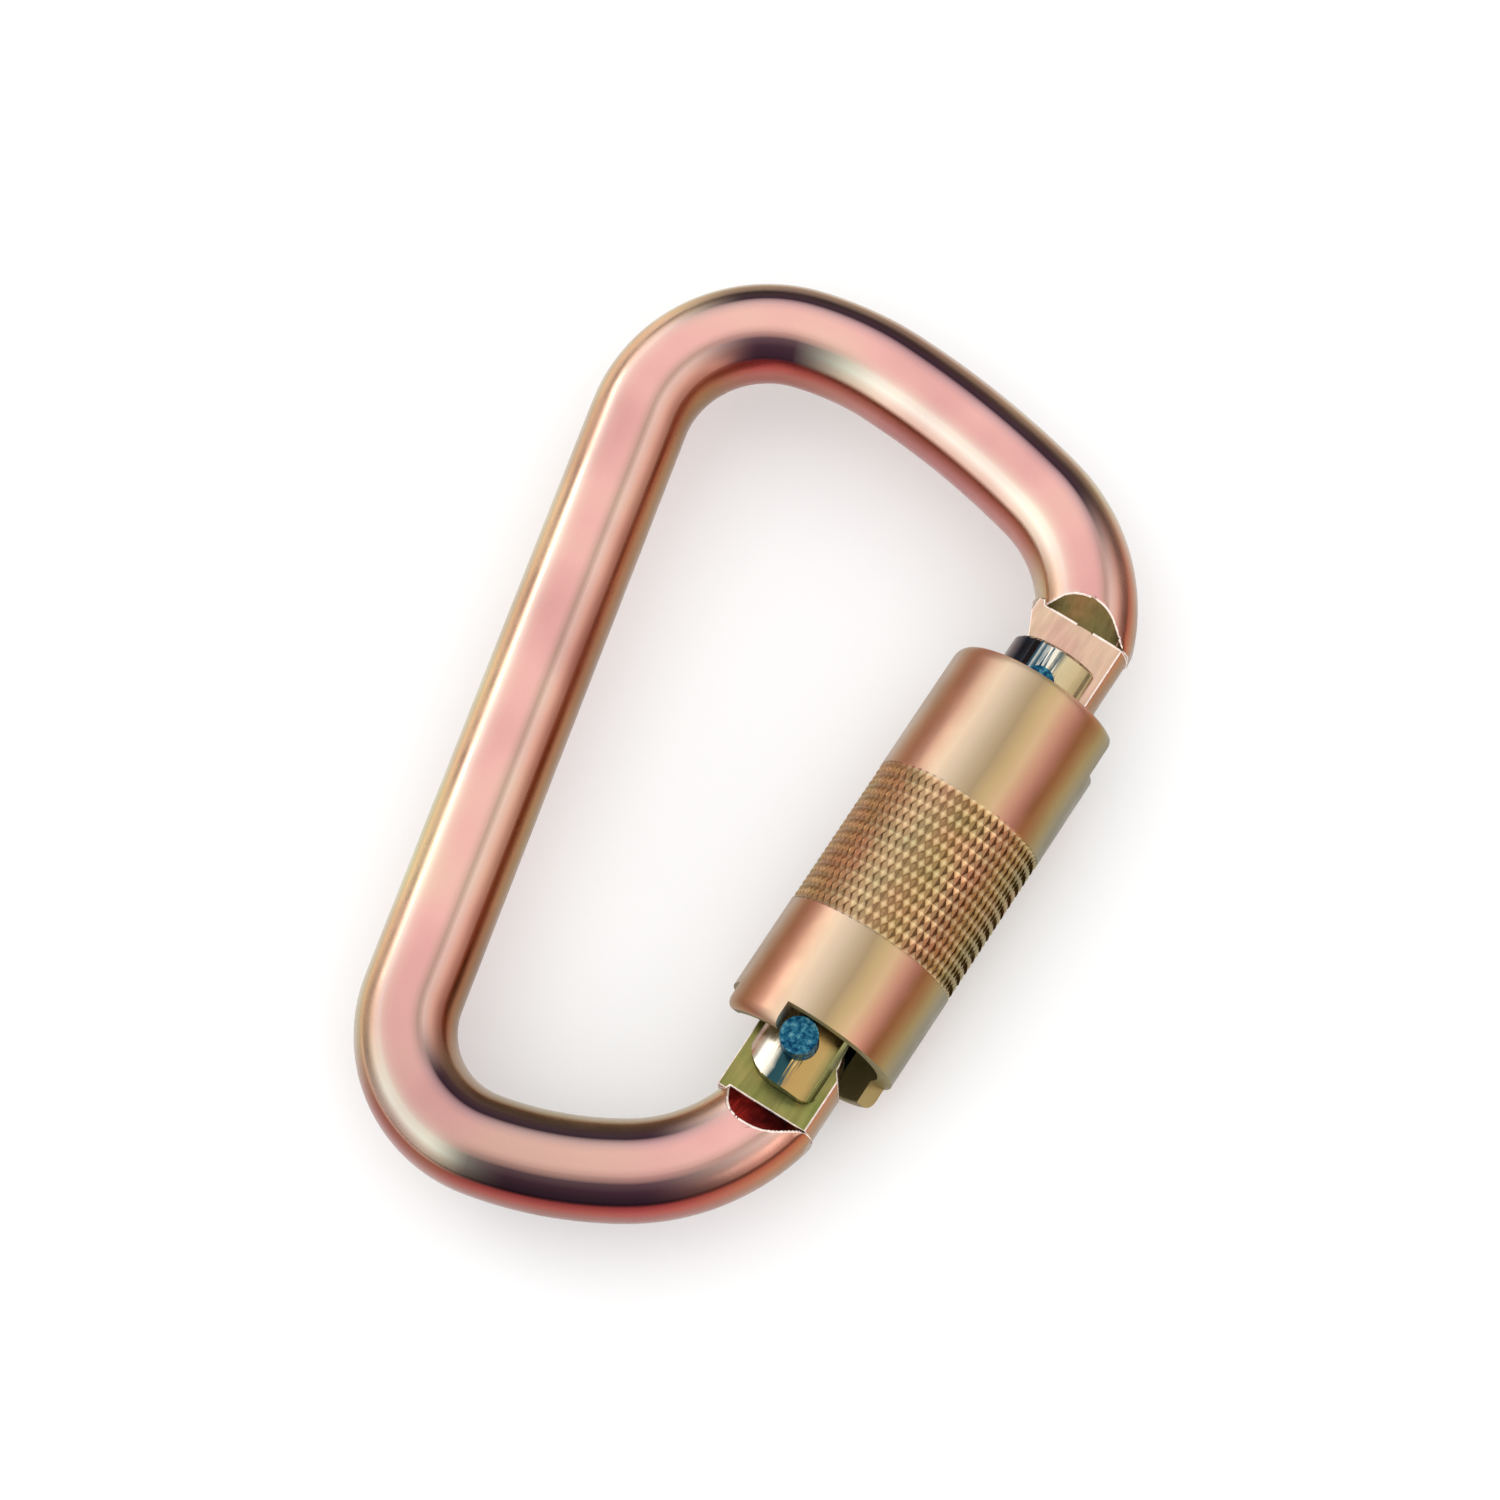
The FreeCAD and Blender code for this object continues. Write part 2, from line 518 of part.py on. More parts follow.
def make_rivet(name, height):
    """A shank with a head peened down on the round of the rod at each end."""
    head = cross_cylinder(name + "_heads", name + "_head", "2 * %s_head_reach" % name, height)
    rod = gate_axis_cylinder(name + "_rod", "rod_diameter / 2", str(FAR))
    heads = boolean("Cut", name + "_peened", head, [rod])
    shank = cross_cylinder(name + "_shank", name + "_shank", "2 * %s_head_reach" % name, height)
    return boolean("MultiFuse", name + "_rivet", heads, [shank])


# ---- closing plunger and springs ----
def make_plunger():
    body = doc.addObject("PartDesign::Body", "closing_plunger")
    profile = body_sketch(body, "plunger_profile")
    radius = size["bore_diameter"] / 2 - size["plunger_clearance"]
    tip = size["cam_start"] + size["plunger_lift"]
    end = tip + size["plunger_length"]
    centre = Vector(0, tip + radius, 0)
    dome = profile.addGeometry(Part.ArcOfCircle(
        Part.Circle(centre, Vector(0, 0, 1), radius), -math.pi / 2, 0), False)
    corners = [Vector(radius, tip + radius, 0), Vector(radius, end, 0), Vector(0, end, 0),
               Vector(0, tip, 0)]
    lines = [profile.addGeometry(Part.LineSegment(a, b), False)
             for a, b in zip(corners, corners[1:])]
    for join in ((dome, 2, lines[0], 1), (lines[0], 2, lines[1], 1), (lines[1], 2, lines[2], 1),
                 (lines[2], 2, dome, 1)):
        profile.addConstraint(Sketcher.Constraint("Coincident", *join))
    profile.addConstraint(Sketcher.Constraint("PointOnObject", dome, 3, -2))
    profile.addConstraint(Sketcher.Constraint("Vertical", lines[0]))
    profile.addConstraint(Sketcher.Constraint("Horizontal", lines[1]))
    profile.addConstraint(Sketcher.Constraint("Vertical", lines[2]))
    profile.addConstraint(Sketcher.Constraint("PointOnObject", dome, 1, -2))
    profile.addConstraint(Sketcher.Constraint("Horizontal", dome, 2, dome, 3))
    fix(profile, Sketcher.Constraint("Radius", dome, 1.0), "radius",
        "bore_diameter / 2 - plunger_clearance")
    fix(profile, Sketcher.Constraint("DistanceY", -1, 1, dome, 1, 1.0), "tip",
        "cam_start + plunger_lift")
    fix(profile, Sketcher.Constraint("DistanceY", -1, 1, lines[1], 1, 1.0), "end",
        "cam_start + plunger_lift + plunger_length")
    revolve(body, "plunger", profile)
    return body


def make_coil(name, mean_radius, wire, floor, top, turns):
    """A coil about the gate axis between two seats, as a round wire swept on a helix.
    It is built about its own Z axis; gate_turn later lays that axis along the gate."""
    helix = doc.addObject("Part::Helix", name + "_helix")
    height = "( %s ) - ( %s ) - %s" % (top, floor, wire)
    bind(helix, {"Radius": mean_radius, "Height": height, "Pitch": "( %s ) / %s" % (height, turns)})
    helix.setExpression(".Placement.Base.z", linked("%s + %s / 2" % (floor, wire)))
    section = doc.addObject("Part::Circle", name + "_wire")
    bind(section, {"Radius": wire + " / 2"})
    section.Placement.Rotation = Rotation(Vector(1, 0, 0), 90)
    section.setExpression(".Placement.Base.x", linked(mean_radius))
    section.setExpression(".Placement.Base.z", linked("%s + %s / 2" % (floor, wire)))
    doc.recompute()
    coil = doc.addObject("Part::Sweep", name)
    coil.Sections = [section]
    coil.Spine = (helix, ["Edge%d" % (k + 1) for k in range(len(helix.Shape.Edges))])
    coil.Solid = True
    coil.Frenet = True
    return coil


def make_torsion_spring():
    mean = "rod_diameter / 2 + torsion_gap + torsion_wire / 2"
    floor = "collar_floor + collar_thickness + spring_seat_gap"
    top = "ring_floor - spring_seat_gap"
    coil = make_coil("torsion_coil", mean, "torsion_wire", floor, top, "torsion_turns")
    legs = []
    ends = (("lower", floor + " + torsion_wire / 2 - leg_length"),
            ("upper", top + " - torsion_wire / 2"))
    for name, foot in ends:
        leg = doc.addObject("Part::Cylinder", name + "_leg")
        bind(leg, {"Radius": "torsion_wire / 2", "Height": "leg_length"})
        leg.setExpression(".Placement.Base.x", linked(mean))
        leg.setExpression(".Placement.Base.z", linked(foot))
        legs.append(leg)
    return boolean("MultiFuse", "torsion_spring", coil, legs)


def leg_hole(body, name):
    """A hole along the gate axis for a leg of the torsion spring."""
    sketch = body_sketch(body, name + "_outline", "XZ_Plane", "collar_floor")
    index = sketch.addGeometry(Part.Circle(Vector(6, 0, 0), Vector(0, 0, 1), 1.0), False)
    sketch.addConstraint(Sketcher.Constraint("PointOnObject", index, 3, -1))
    fix(sketch, Sketcher.Constraint("DistanceX", -1, 1, index, 3, 6.0), "across",
        "rod_diameter / 2 + torsion_gap + torsion_wire / 2")
    fix(sketch, Sketcher.Constraint("Radius", index, 1.0), "radius",
        "torsion_wire / 2 + leg_clearance")
    return sketch


# ---- lock sleeve and retaining ring ----
def make_sleeve():
    body = doc.addObject("PartDesign::Body", "lock_sleeve")
    profile = body_sketch(body, "sleeve_profile")
    outer = "sleeve_diameter / 2"
    runner = "rod_diameter / 2 + sleeve_running"
    collar_top = "collar_floor + collar_thickness"
    step = "ring_floor - ring_end_gap"
    ring_bore = "ring_diameter / 2 + sleeve_running"
    ring_top = "ring_floor + ring_thickness"
    outline(profile, [
        ("skirt_bore / 2", "-1 * sleeve_bottom"),
        (outer + " - tab_chamfer", "-1 * sleeve_bottom"),
        (outer, "tab_chamfer - sleeve_bottom"),
        (outer, "sleeve_top - rim_chamfer"),
        (outer + " - rim_chamfer", "sleeve_top"),
        ("mouth_bore / 2", "sleeve_top"),
        ("mouth_bore / 2", ring_top), (ring_bore, ring_top),
        (ring_bore, step), ("chamber_bore / 2", step),
        ("chamber_bore / 2", collar_top), (runner, collar_top),
        (runner, "collar_floor"), ("skirt_bore / 2", "collar_floor")])
    revolve(body, "turned_sleeve", profile)

    cutouts = body_sketch(body, "cutout_outline", "XZ_Plane", "cutout_top - 10")
    for side in (0, 180):
        start = "cutout_start + %d" % side
        outline(cutouts, wedge(start, start + " + cutout_width"))
    pocket(body, "hinge_cutouts", cutouts, "20")

    passage = body_sketch(body, "passage_outline", "XZ_Plane", "passage_floor + 10")
    outline(passage, wedge("passage_start", "passage_end"))
    pocket(body, "nose_passage", passage, "20")

    pocket(body, "leg_hole", leg_hole(body, "sleeve_leg"), "collar_thickness * 4")
    return body


def make_ring():
    body = doc.addObject("PartDesign::Body", "retaining_ring")
    profile = body_sketch(body, "ring_profile")
    top = "ring_floor + ring_thickness"
    outline(profile, [("rod_diameter / 2", "ring_floor"), ("ring_diameter / 2", "ring_floor"),
                      ("ring_diameter / 2", top), ("rod_diameter / 2", top)])
    revolve(body, "ring", profile)
    pocket(body, "leg_hole_in_ring", leg_hole(body, "ring_leg"), str(2 * FAR))
    return body


gate_turn = Rotation(Vector(1, 0, 0), -90)
closing_radius = "bore_diameter / 2 - closing_gap - closing_wire / 2"
plunger_end = "cam_start + plunger_lift + plunger_length"
pieces = {
    "frame": make_frame(),
    "gate": make_gate(),
    "hinge_rivet": make_rivet("hinge", "0"),
    "latch_rivet": make_rivet("latch", "latch_height"),
    "closing_plunger": make_plunger(),
    "closing_spring": make_coil("closing_spring", closing_radius, "closing_wire",
                                plunger_end + " + spring_seat_gap",
                                "bore_end - spring_seat_gap", "closing_turns"),
    "lock_sleeve": make_sleeve(),
    "torsion_spring": make_torsion_spring(),
    "retaining_ring": make_ring(),
}
for name in ("closing_spring", "torsion_spring"):
    pieces[name].Placement = Placement(Vector(), gate_turn)
doc.recompute()

# ---- the common Placement: centre on the origin, lowest point at Z = 0 ----
extent = FreeCAD.BoundBox()
for name in ("frame", "gate", "lock_sleeve", "hinge_rivet"):
    extent.add(pieces[name].Shape.optimalBoundingBox(False, False))
shift = Vector(-extent.Center.x, -extent.Center.y, -extent.ZMin)
for name, piece in pieces.items():
    piece.Label = name
    turn = piece.Placement.Rotation
    piece.Placement = Placement(shift, turn)
doc.recompute()

for item in doc.Objects:
    if "Invalid" in item.State or "Error" in item.State:
        raise RuntimeError("%s failed: %s" % (item.Name, item.State))
for name, piece in pieces.items():
    if piece.Shape.isNull() or not piece.Shape.isValid():
        raise RuntimeError("%s has no valid shape" % name)
    if len(piece.Shape.Solids) != 1:
        raise RuntimeError("%s is %d solids" % (name, len(piece.Shape.Solids)))

os.makedirs("parts", exist_ok=True)
for name, piece in pieces.items():
    piece.Shape.exportStep("parts/%s.step" % name)
    box = piece.Shape.BoundBox
    print("%-16s %9.2f mm3  x %.2f..%.2f  y %.2f..%.2f  z %.2f..%.2f" % (
        name, piece.Shape.Volume, box.XMin, box.XMax, box.YMin, box.YMax, box.ZMin, box.ZMax))
print("hinge axis at %.5f, %.5f, mid-plane at %.5f" % (shift.x, shift.y, shift.z))
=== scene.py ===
# %% [markdown]
# # A twist-lock carabiner, finished for rendering
# The solids come from the CAD model in metres, already in place, and they stay fixed here.
# This file gives the carabiner its looks: the bent bar, the knurled sleeve and every finish
# are made below with the tools that a person would use by hand. First come the model and
# the few lengths that the rest is worked out from.

# %% Load the model
import bpy
import json
import math
from mathutils import Matrix, Vector


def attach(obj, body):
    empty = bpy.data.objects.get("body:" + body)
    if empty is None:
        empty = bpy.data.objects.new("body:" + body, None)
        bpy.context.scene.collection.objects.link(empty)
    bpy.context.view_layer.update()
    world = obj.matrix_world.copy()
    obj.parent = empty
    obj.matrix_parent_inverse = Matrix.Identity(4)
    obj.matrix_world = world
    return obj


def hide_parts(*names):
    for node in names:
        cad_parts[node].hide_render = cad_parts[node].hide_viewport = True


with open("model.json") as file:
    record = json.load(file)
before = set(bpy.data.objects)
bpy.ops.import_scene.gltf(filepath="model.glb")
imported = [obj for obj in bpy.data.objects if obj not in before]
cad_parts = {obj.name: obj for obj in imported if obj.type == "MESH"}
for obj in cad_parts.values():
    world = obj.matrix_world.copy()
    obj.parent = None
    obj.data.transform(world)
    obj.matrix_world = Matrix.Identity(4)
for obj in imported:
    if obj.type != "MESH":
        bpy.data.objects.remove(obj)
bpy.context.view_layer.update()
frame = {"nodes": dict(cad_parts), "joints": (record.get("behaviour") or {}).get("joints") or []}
joints = {joint["name"]: joint for joint in frame["joints"]}
HINGE = Vector(joints["gate_swing"]["pos_m"])
MM = 0.001

# %% [markdown]
# ## Small helpers
# Operators act on whatever is selected, so each step starts from a clean selection. Faces
# and edges are then picked in code by where they are. `at` turns a place given in
# millimetres from the hinge axis into the model's own metres.

# %% Selection and edit-mode helpers
def at(x, y, z=0.0):
    """A point in metres, from millimetres measured from the hinge at mid-thickness."""
    return HINGE + Vector((x, y, z)) * MM


def only(*pieces):
    """Select these objects and nothing else, in object mode."""
    if bpy.context.mode != "OBJECT":
        bpy.ops.object.mode_set(mode="OBJECT")
    bpy.ops.object.select_all(action="DESELECT")
    for piece in pieces:
        piece.select_set(True)
    bpy.context.view_layer.objects.active = pieces[0]


def edit(piece, kind="VERT"):
    """Open a piece in edit mode with nothing selected."""
    only(piece)
    bpy.ops.object.mode_set(mode="EDIT")
    bpy.ops.mesh.select_mode(type=kind)
    bpy.ops.mesh.select_all(action="DESELECT")


def done():
    """Leave edit mode."""
    bpy.ops.object.mode_set(mode="OBJECT")


def pick(piece, test, kind="vertices"):
    """Select the parts of a mesh whose place passes the test; edit mode stays open."""
    edit(piece, {"vertices": "VERT", "edges": "EDGE", "polygons": "FACE"}[kind])
    done()
    mesh = piece.data
    for part in getattr(mesh, kind):
        if kind == "vertices":
            part.select = test(part.co)
        elif kind == "edges":
            part.select = all(test(mesh.vertices[v].co) for v in part.vertices)
        else:
            part.select = test(part.center)
    bpy.ops.object.mode_set(mode="EDIT")


def apply_all(piece):
    """Apply every modifier, top first."""
    only(piece)
    for modifier in list(piece.modifiers):
        bpy.ops.object.modifier_apply(modifier=modifier.name)


def settle(piece):
    """Put a finished piece's place into its mesh, leaving its object at the origin."""
    only(piece)
    bpy.ops.object.transform_apply(location=True, rotation=True, scale=True)


def name_last(name):
    """Name the object that the last operator added."""
    piece = bpy.context.view_layer.objects.active
    piece.name = name
    piece.data.name = name
    return piece


def combine(piece, tool, operation):
    """Boolean a tool object into a piece, then throw the tool away."""
    modifier = piece.modifiers.new(operation.title(), "BOOLEAN")
    modifier.operation = operation
    modifier.solver = "EXACT"
    modifier.object = tool
    apply_all(piece)
    bpy.data.objects.remove(tool)
    return piece


def soften(piece, angle=35):
    """Smooth shading, with edges sharper than the angle left crisp."""
    only(piece)
    bpy.ops.object.shade_smooth_by_angle(angle=math.radians(angle))


print("helpers ready")

# %% [markdown]
# ## Plates cut to an outline
# The tangs at the bar's two ends and the cutters that shape them are all flat plates. A
# plate is traced as on paper: one point is extruded from corner to corner, the loop is
# filled, and the face is extruded to the plate's thickness.

# %% Trace a plate
def trace(name, corners, low, high, place=at):
    """A closed plate through corners in millimetres, between two heights."""
    bpy.ops.object.select_all(action="DESELECT")
    bpy.ops.mesh.primitive_plane_add(size=MM, location=(0, 0, 0))
    plate = name_last(name)
    points = [place(x, y, low) for x, y in corners]
    edit(plate)
    bpy.ops.mesh.select_all(action="SELECT")
    bpy.ops.mesh.merge(type="CENTER")
    bpy.ops.transform.translate(value=points[0])
    for before, after in zip(points, points[1:]):
        bpy.ops.mesh.extrude_region_move(TRANSFORM_OT_translate={"value": after - before})
    bpy.ops.mesh.select_all(action="SELECT")
    bpy.ops.mesh.edge_face_add()
    rise = place(0, 0, high) - place(0, 0, low)
    bpy.ops.mesh.extrude_region_move(TRANSFORM_OT_translate={"value": rise})
    bpy.ops.mesh.select_all(action="SELECT")
    bpy.ops.mesh.normals_make_consistent(inside=False)
    done()
    return plate


def arc(radius, start, end, steps, centre=(0, 0)):
    """Points along an arc, angles in degrees."""
    turns = [math.radians(start + (end - start) * k / steps) for k in range(steps + 1)]
    return [(centre[0] + radius * math.cos(a), centre[1] + radius * math.sin(a))
            for a in turns]


# %% [markdown]
# ## The bent bar
# The frame is one steel bar, bent cold and then pressed between flat dies. That is just how
# it is modelled: a circle is bisected flat on two sides, its new corners are smoothed, and
# the outline is spun round the centre of each bend and extruded along the straight spine.
# A curve with a bevel object could do the same, but spinning keeps every ring of vertices
# square to the bar, which keeps the reflections clean.

# %% The bar's section
BAR = 11.0                  # the round bar's diameter
PRESSED = 9.6               # its thickness across the pressed flats
LEAN = math.radians(13.3)   # the spine's lean away from the gate
SPINE = -42.06              # the spine's centreline at the hinge's height
SPINE_LOW, SPINE_HIGH = -16.62, 50.53
SPINE_BOTTOM = Vector((SPINE - SPINE_LOW * math.tan(LEAN), SPINE_LOW, 0))
SPINE_TOP = Vector((SPINE - SPINE_HIGH * math.tan(LEAN), SPINE_HIGH, 0))
SIDES_ROUND = 96            # corners of the round outline
FLAT_CUTS = 14              # new points along each flat
CORNER_PASSES = 24          # how often the flats' corners are smoothed


def bar_section():
    """The bar's outline at the spine's foot, square to the spine."""
    bpy.ops.object.select_all(action="DESELECT")
    bpy.ops.mesh.primitive_circle_add(vertices=SIDES_ROUND, radius=BAR / 2 * MM,
                                      fill_type="NGON",
                                      location=at(*SPINE_BOTTOM),
                                      rotation=(math.radians(90), 0, LEAN))
    bar = name_last("bent_bar")
    settle(bar)
    corner = math.sqrt(BAR ** 2 - PRESSED ** 2) / 2 * MM
    foot = at(*SPINE_BOTTOM)
    for side in (1, -1):
        level = HINGE.z + side * PRESSED / 2 * MM
        edit(bar)
        bpy.ops.mesh.select_all(action="SELECT")
        bpy.ops.mesh.bisect(plane_co=(HINGE.x, HINGE.y, level), plane_no=(0, 0, side),
                            clear_outer=True, threshold=1e-8)
        pick(bar, lambda co: abs(co.z - level) < 1e-7, "edges")
        bpy.ops.mesh.subdivide(number_cuts=FLAT_CUTS)
        pick(bar, lambda co: (co.z - HINGE.z) * side > 3.2 * MM
             and abs((co - foot).to_2d().length - corner) < 1.5 * MM)
        bpy.ops.mesh.vertices_smooth(factor=0.5, repeat=CORNER_PASSES)
    bpy.ops.mesh.select_all(action="SELECT")
    bpy.ops.mesh.delete(type="ONLY_FACE")
    done()
    return bar


bar = bar_section()
print("bar section", len(bar.data.vertices), "points", bar.dimensions / MM)

# %% [markdown]
# The bends follow each other without a break, so each one's centre lies square to the
# direction in which the last one ended. From the spine's foot the bar is spun down through
# the narrow bow to the hinge; from its head, up and over the wide bow to the nose. Tight
# bends get small steps and wide ones larger steps, so that the rings stay evenly spaced.

# %% Spin the bends
# each bend's radius and its turn in degrees
TOWARDS_NOSE = ((14.82, 88.11), (34.94, 17.66), (99.44, 12.23), (18.54, 64.74))
TOWARDS_HINGE = ((12.98, 88.74), (43.34, 20.73), (21.33, 47.7))
STEP = 3.0                  # degrees in a step, on a bend of the middle radius
MIDDLE_RADIUS = 30
FINENESS = 1.6


def ring_at(bar, point, heading):
    """Select the bar's open ring that passes through a point."""
    along = Vector((math.cos(heading), math.sin(heading), 0))
    here = at(*point)
    pick(bar, lambda co: abs((co - here).dot(along)) < 2e-6
         and (co - here).length < BAR * MM, "edges")


def spin_bends(bar, point, heading, side, bends):
    """Spin the open ring at a point through a row of bends, and return where it ends."""
    for radius, turn in bends:
        ring_at(bar, point, heading)
        square = Vector((-math.sin(heading), math.cos(heading), 0)) * side
        centre = point + square * radius
        steps = max(4, round(turn / STEP * (radius / MIDDLE_RADIUS) ** 0.5 * FINENESS))
        bpy.ops.mesh.spin(steps=steps, angle=-math.radians(turn) * side,
                          center=at(*centre), axis=(0, 0, 1))
        done()
        heading += math.radians(turn) * side
        point = centre - Vector((-math.sin(heading), math.cos(heading), 0)) * side * radius
    return point, heading


ring_at(bar, SPINE_BOTTOM, math.pi / 2 + LEAN)
bpy.ops.mesh.extrude_region_move(
    TRANSFORM_OT_translate={"value": (SPINE_TOP - SPINE_BOTTOM) * MM})
done()
nose_end, nose_heading = spin_bends(bar, SPINE_TOP, math.pi / 2 + LEAN, -1, TOWARDS_NOSE)
hinge_end, hinge_heading = spin_bends(bar, SPINE_BOTTOM, -math.pi / 2 + LEAN, 1,
                                      TOWARDS_HINGE)
print("bar runs from", tuple(hinge_end), "to", tuple(nose_end),
      "with", len(bar.data.vertices), "points")

# %% [markdown]
# The last rings are still open. A face closes each one, and every face is turned outwards,
# so that the booleans below can tell the inside of the bar from the outside.

# %% Cap the bar's ends
for point, heading in ((nose_end, nose_heading), (hinge_end, hinge_heading)):
    ring_at(bar, point, heading)
    bpy.ops.mesh.edge_face_add()
    done()
edit(bar)
bpy.ops.mesh.select_all(action="SELECT")
bpy.ops.mesh.remove_doubles(threshold=1e-7)
bpy.ops.mesh.normals_make_consistent(inside=False)
done()
print("capped bar measures", bar.dimensions / MM)

# %% [markdown]
# ## Milled ends
# At both ends the bar is milled down to a thin tang. Past the shoulder everything is cut
# away: flat between the tang's faces, and sloped outside them, which leaves a half-moon
# facet on each face of the bar. The tangs are plates turned round about the gate's axis,
# so their outer corners are rounded, and they are joined on where the bar was cut.

# %% Cut the shoulders
TANG = 6.0                  # the tangs' thickness
TANG_ROUND = 6.1            # their turned radius about the gate's axis
NOSE_SHOULDER = 55.1        # heights of the two shoulders above the hinge
HINGE_SHOULDER = -7.4
CUTTER = 15                 # half the width and half the length of a shoulder's cutter
ARCH_STEPS = 40


def shoulder(bar, foot, away):
    """Cut the bar off square at a shoulder, on the side away from the bar."""
    end = foot - 2 * CUTTER * away
    corners = [(-CUTTER, foot), (CUTTER, foot), (CUTTER, end), (-CUTTER, end)]
    return combine(bar, trace("shoulder_cut", corners, -CUTTER, CUTTER), "DIFFERENCE")


def half_moon(bar, foot, away, left, right, depth, face):
    """Slope the shoulder back on one face: straight at the tang, an arc at the bar."""
    half = (right - left) / 2
    radius = (half * half + depth * depth) / (2 * depth)
    reach = math.degrees(math.asin(half / radius))
    top = BAR / 2 + 0.1
    rise = (top - TANG / 2) / (PRESSED / 2 - TANG / 2)
    middle = ((left + right) / 2, depth - radius)
    arch = arc(radius, 90 + reach, 90 - reach, ARCH_STEPS, middle)
    corners = [(x, foot + y * rise * away) for x, y in arch]
    cutter = trace("half_moon", corners, face * TANG / 2, face * top)
    level = at(0, 0, face * TANG / 2).z
    pick(cutter, lambda co: abs(co.z - level) < 1e-6)
    bpy.ops.transform.resize(value=(1, 0.004, 1), center_override=at(0, foot))
    done()
    return combine(bar, cutter, "DIFFERENCE")


shoulder(bar, NOSE_SHOULDER, 1)
shoulder(bar, HINGE_SHOULDER, -1)
for face in (1, -1):
    half_moon(bar, NOSE_SHOULDER - 0.01, 1, -4.9, 6.3, 3.0, face)
    half_moon(bar, HINGE_SHOULDER + 0.01, -1, -7.2, 6.3, 2.8, face)
low, high = HINGE_SHOULDER - 2.2, NOSE_SHOULDER + 2.1
side = [(TANG_ROUND, low), (2 * CUTTER, low), (2 * CUTTER, high), (TANG_ROUND, high)]
combine(bar, trace("side_cut", side, -20, 20), "DIFFERENCE")
print("shoulders cut,", len(bar.data.polygons), "faces")

# %% [markdown]
# The nose tang ends in a hook: a round notch that catches the latch rivet, above a lip whose
# corners are slanted off. The hinge tang's top is round about the hinge, except on the inner
# side, where it swells into the cam that the gate's plunger rides on.

# %% Make the tangs
LATCH = 46.3                # the latch rivet's height
NOTCH = 1.65                # the notch's radius, also the hinge bore's
LIP_END = LATCH - NOTCH - 1.35
NOSE_INNER = -4.1           # the nose tang's inner side
ROD_END = 51.2              # the height at which the nose tang widens
SLANT_RISE = 4.025          # height of the slant on the lip's outer corner
LIP_OUTER, LIP_INNER = 2.6, -3.2         # the lip's underside, from corner to corner
LIP_CORNER = 0.9
HINGE_INNER = -5.2          # the hinge tang's inner side
ROOT = 0.5                  # how far both tangs reach into the bar
SWING = 40.0                # the gate's swing, degrees
CAM = 4.6                   # the cam's radius with the gate shut; it grows by 1
CAM_STEPS = 12
cam = [(-r * math.sin(math.radians(a)), r * math.cos(math.radians(a)))
       for a, r in ((SWING * k / CAM_STEPS, CAM + k / CAM_STEPS)
                    for k in range(CAM_STEPS + 1))]
nose_corners = [(TANG_ROUND, NOSE_SHOULDER + ROOT), (TANG_ROUND, LIP_END + SLANT_RISE),
                (LIP_OUTER, LIP_END), (LIP_INNER, LIP_END),
                (NOSE_INNER, LIP_END + LIP_CORNER), (NOSE_INNER, LATCH - NOTCH)]
nose_corners += arc(NOTCH, -90, 90, 16, (0, LATCH))
nose_corners += [(NOSE_INNER, LATCH + NOTCH), (NOSE_INNER, ROD_END),
                 (-TANG_ROUND, NOSE_SHOULDER + ROOT)]
hinge_corners = [(HINGE_INNER, HINGE_SHOULDER - ROOT), (TANG_ROUND, HINGE_SHOULDER - ROOT),
                 (TANG_ROUND, -2.0)]
hinge_corners += arc(CAM, 0, 90, 16) + cam[1:] + [(HINGE_INNER, 1.5)]
for name, corners in (("nose_tang", nose_corners), ("hinge_tang", hinge_corners)):
    tang = trace(name, corners, -TANG / 2, TANG / 2)
    bpy.ops.object.select_all(action="DESELECT")
    bpy.ops.mesh.primitive_cylinder_add(vertices=96, radius=TANG_ROUND * MM, depth=0.3,
                                        location=HINGE, rotation=(math.radians(90), 0, 0))
    turned = name_last(name + "_turned")
    combine(tang, turned, "INTERSECT")
    combine(bar, tang, "UNION")
bore = trace("hinge_bore", arc(NOTCH, 0, 345, 23), -10, 10)
combine(bar, bore, "DIFFERENCE")
print("frame has", len(bar.data.polygons), "faces")

# %% [markdown]
# A real edge is never quite sharp. The cuts left slivers along their rims, so points nearer
# than the bevel's width are merged first. They are sorted by distance from the 3D cursor,
# which lies off to one side, because merging in a fixed order comes out the same each time.
# A narrow bevel then breaks every edge steeper than 32 degrees. Its faces are remembered,
# so that a painted highlight can be put on them further down; the two empty material slots
# are there only to tell them apart.

# %% Break the frame's edges
EDGE = 0.12                 # the bevel's width
bpy.context.scene.cursor.location = (0.31, 0.17, 0.23)
edit(bar)
bpy.ops.mesh.select_all(action="SELECT")
bpy.ops.mesh.sort_elements(type="CURSOR_DISTANCE", elements={"VERT", "EDGE", "FACE"})
bpy.ops.mesh.remove_doubles(threshold=EDGE * MM)
bpy.ops.mesh.dissolve_degenerate(threshold=0.01 * MM)
done()
bar.data.materials.append(None)
bar.data.materials.append(None)
bevel = bar.modifiers.new("Broken edges", "BEVEL")
bevel.width = EDGE * MM
bevel.segments = 2
bevel.material = 1
bevel.limit_method = "ANGLE"
bevel.angle_limit = math.radians(32)
bevel.use_clamp_overlap = False
apply_all(bar)
broken_edges = {face.index for face in bar.data.polygons if face.material_index == 1}
bar.name = "frame_bar"
soften(bar, 40)
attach(bar, "frame")
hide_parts("frame")
print("finished frame", len(bar.data.polygons), "faces,", len(broken_edges), "on edges")

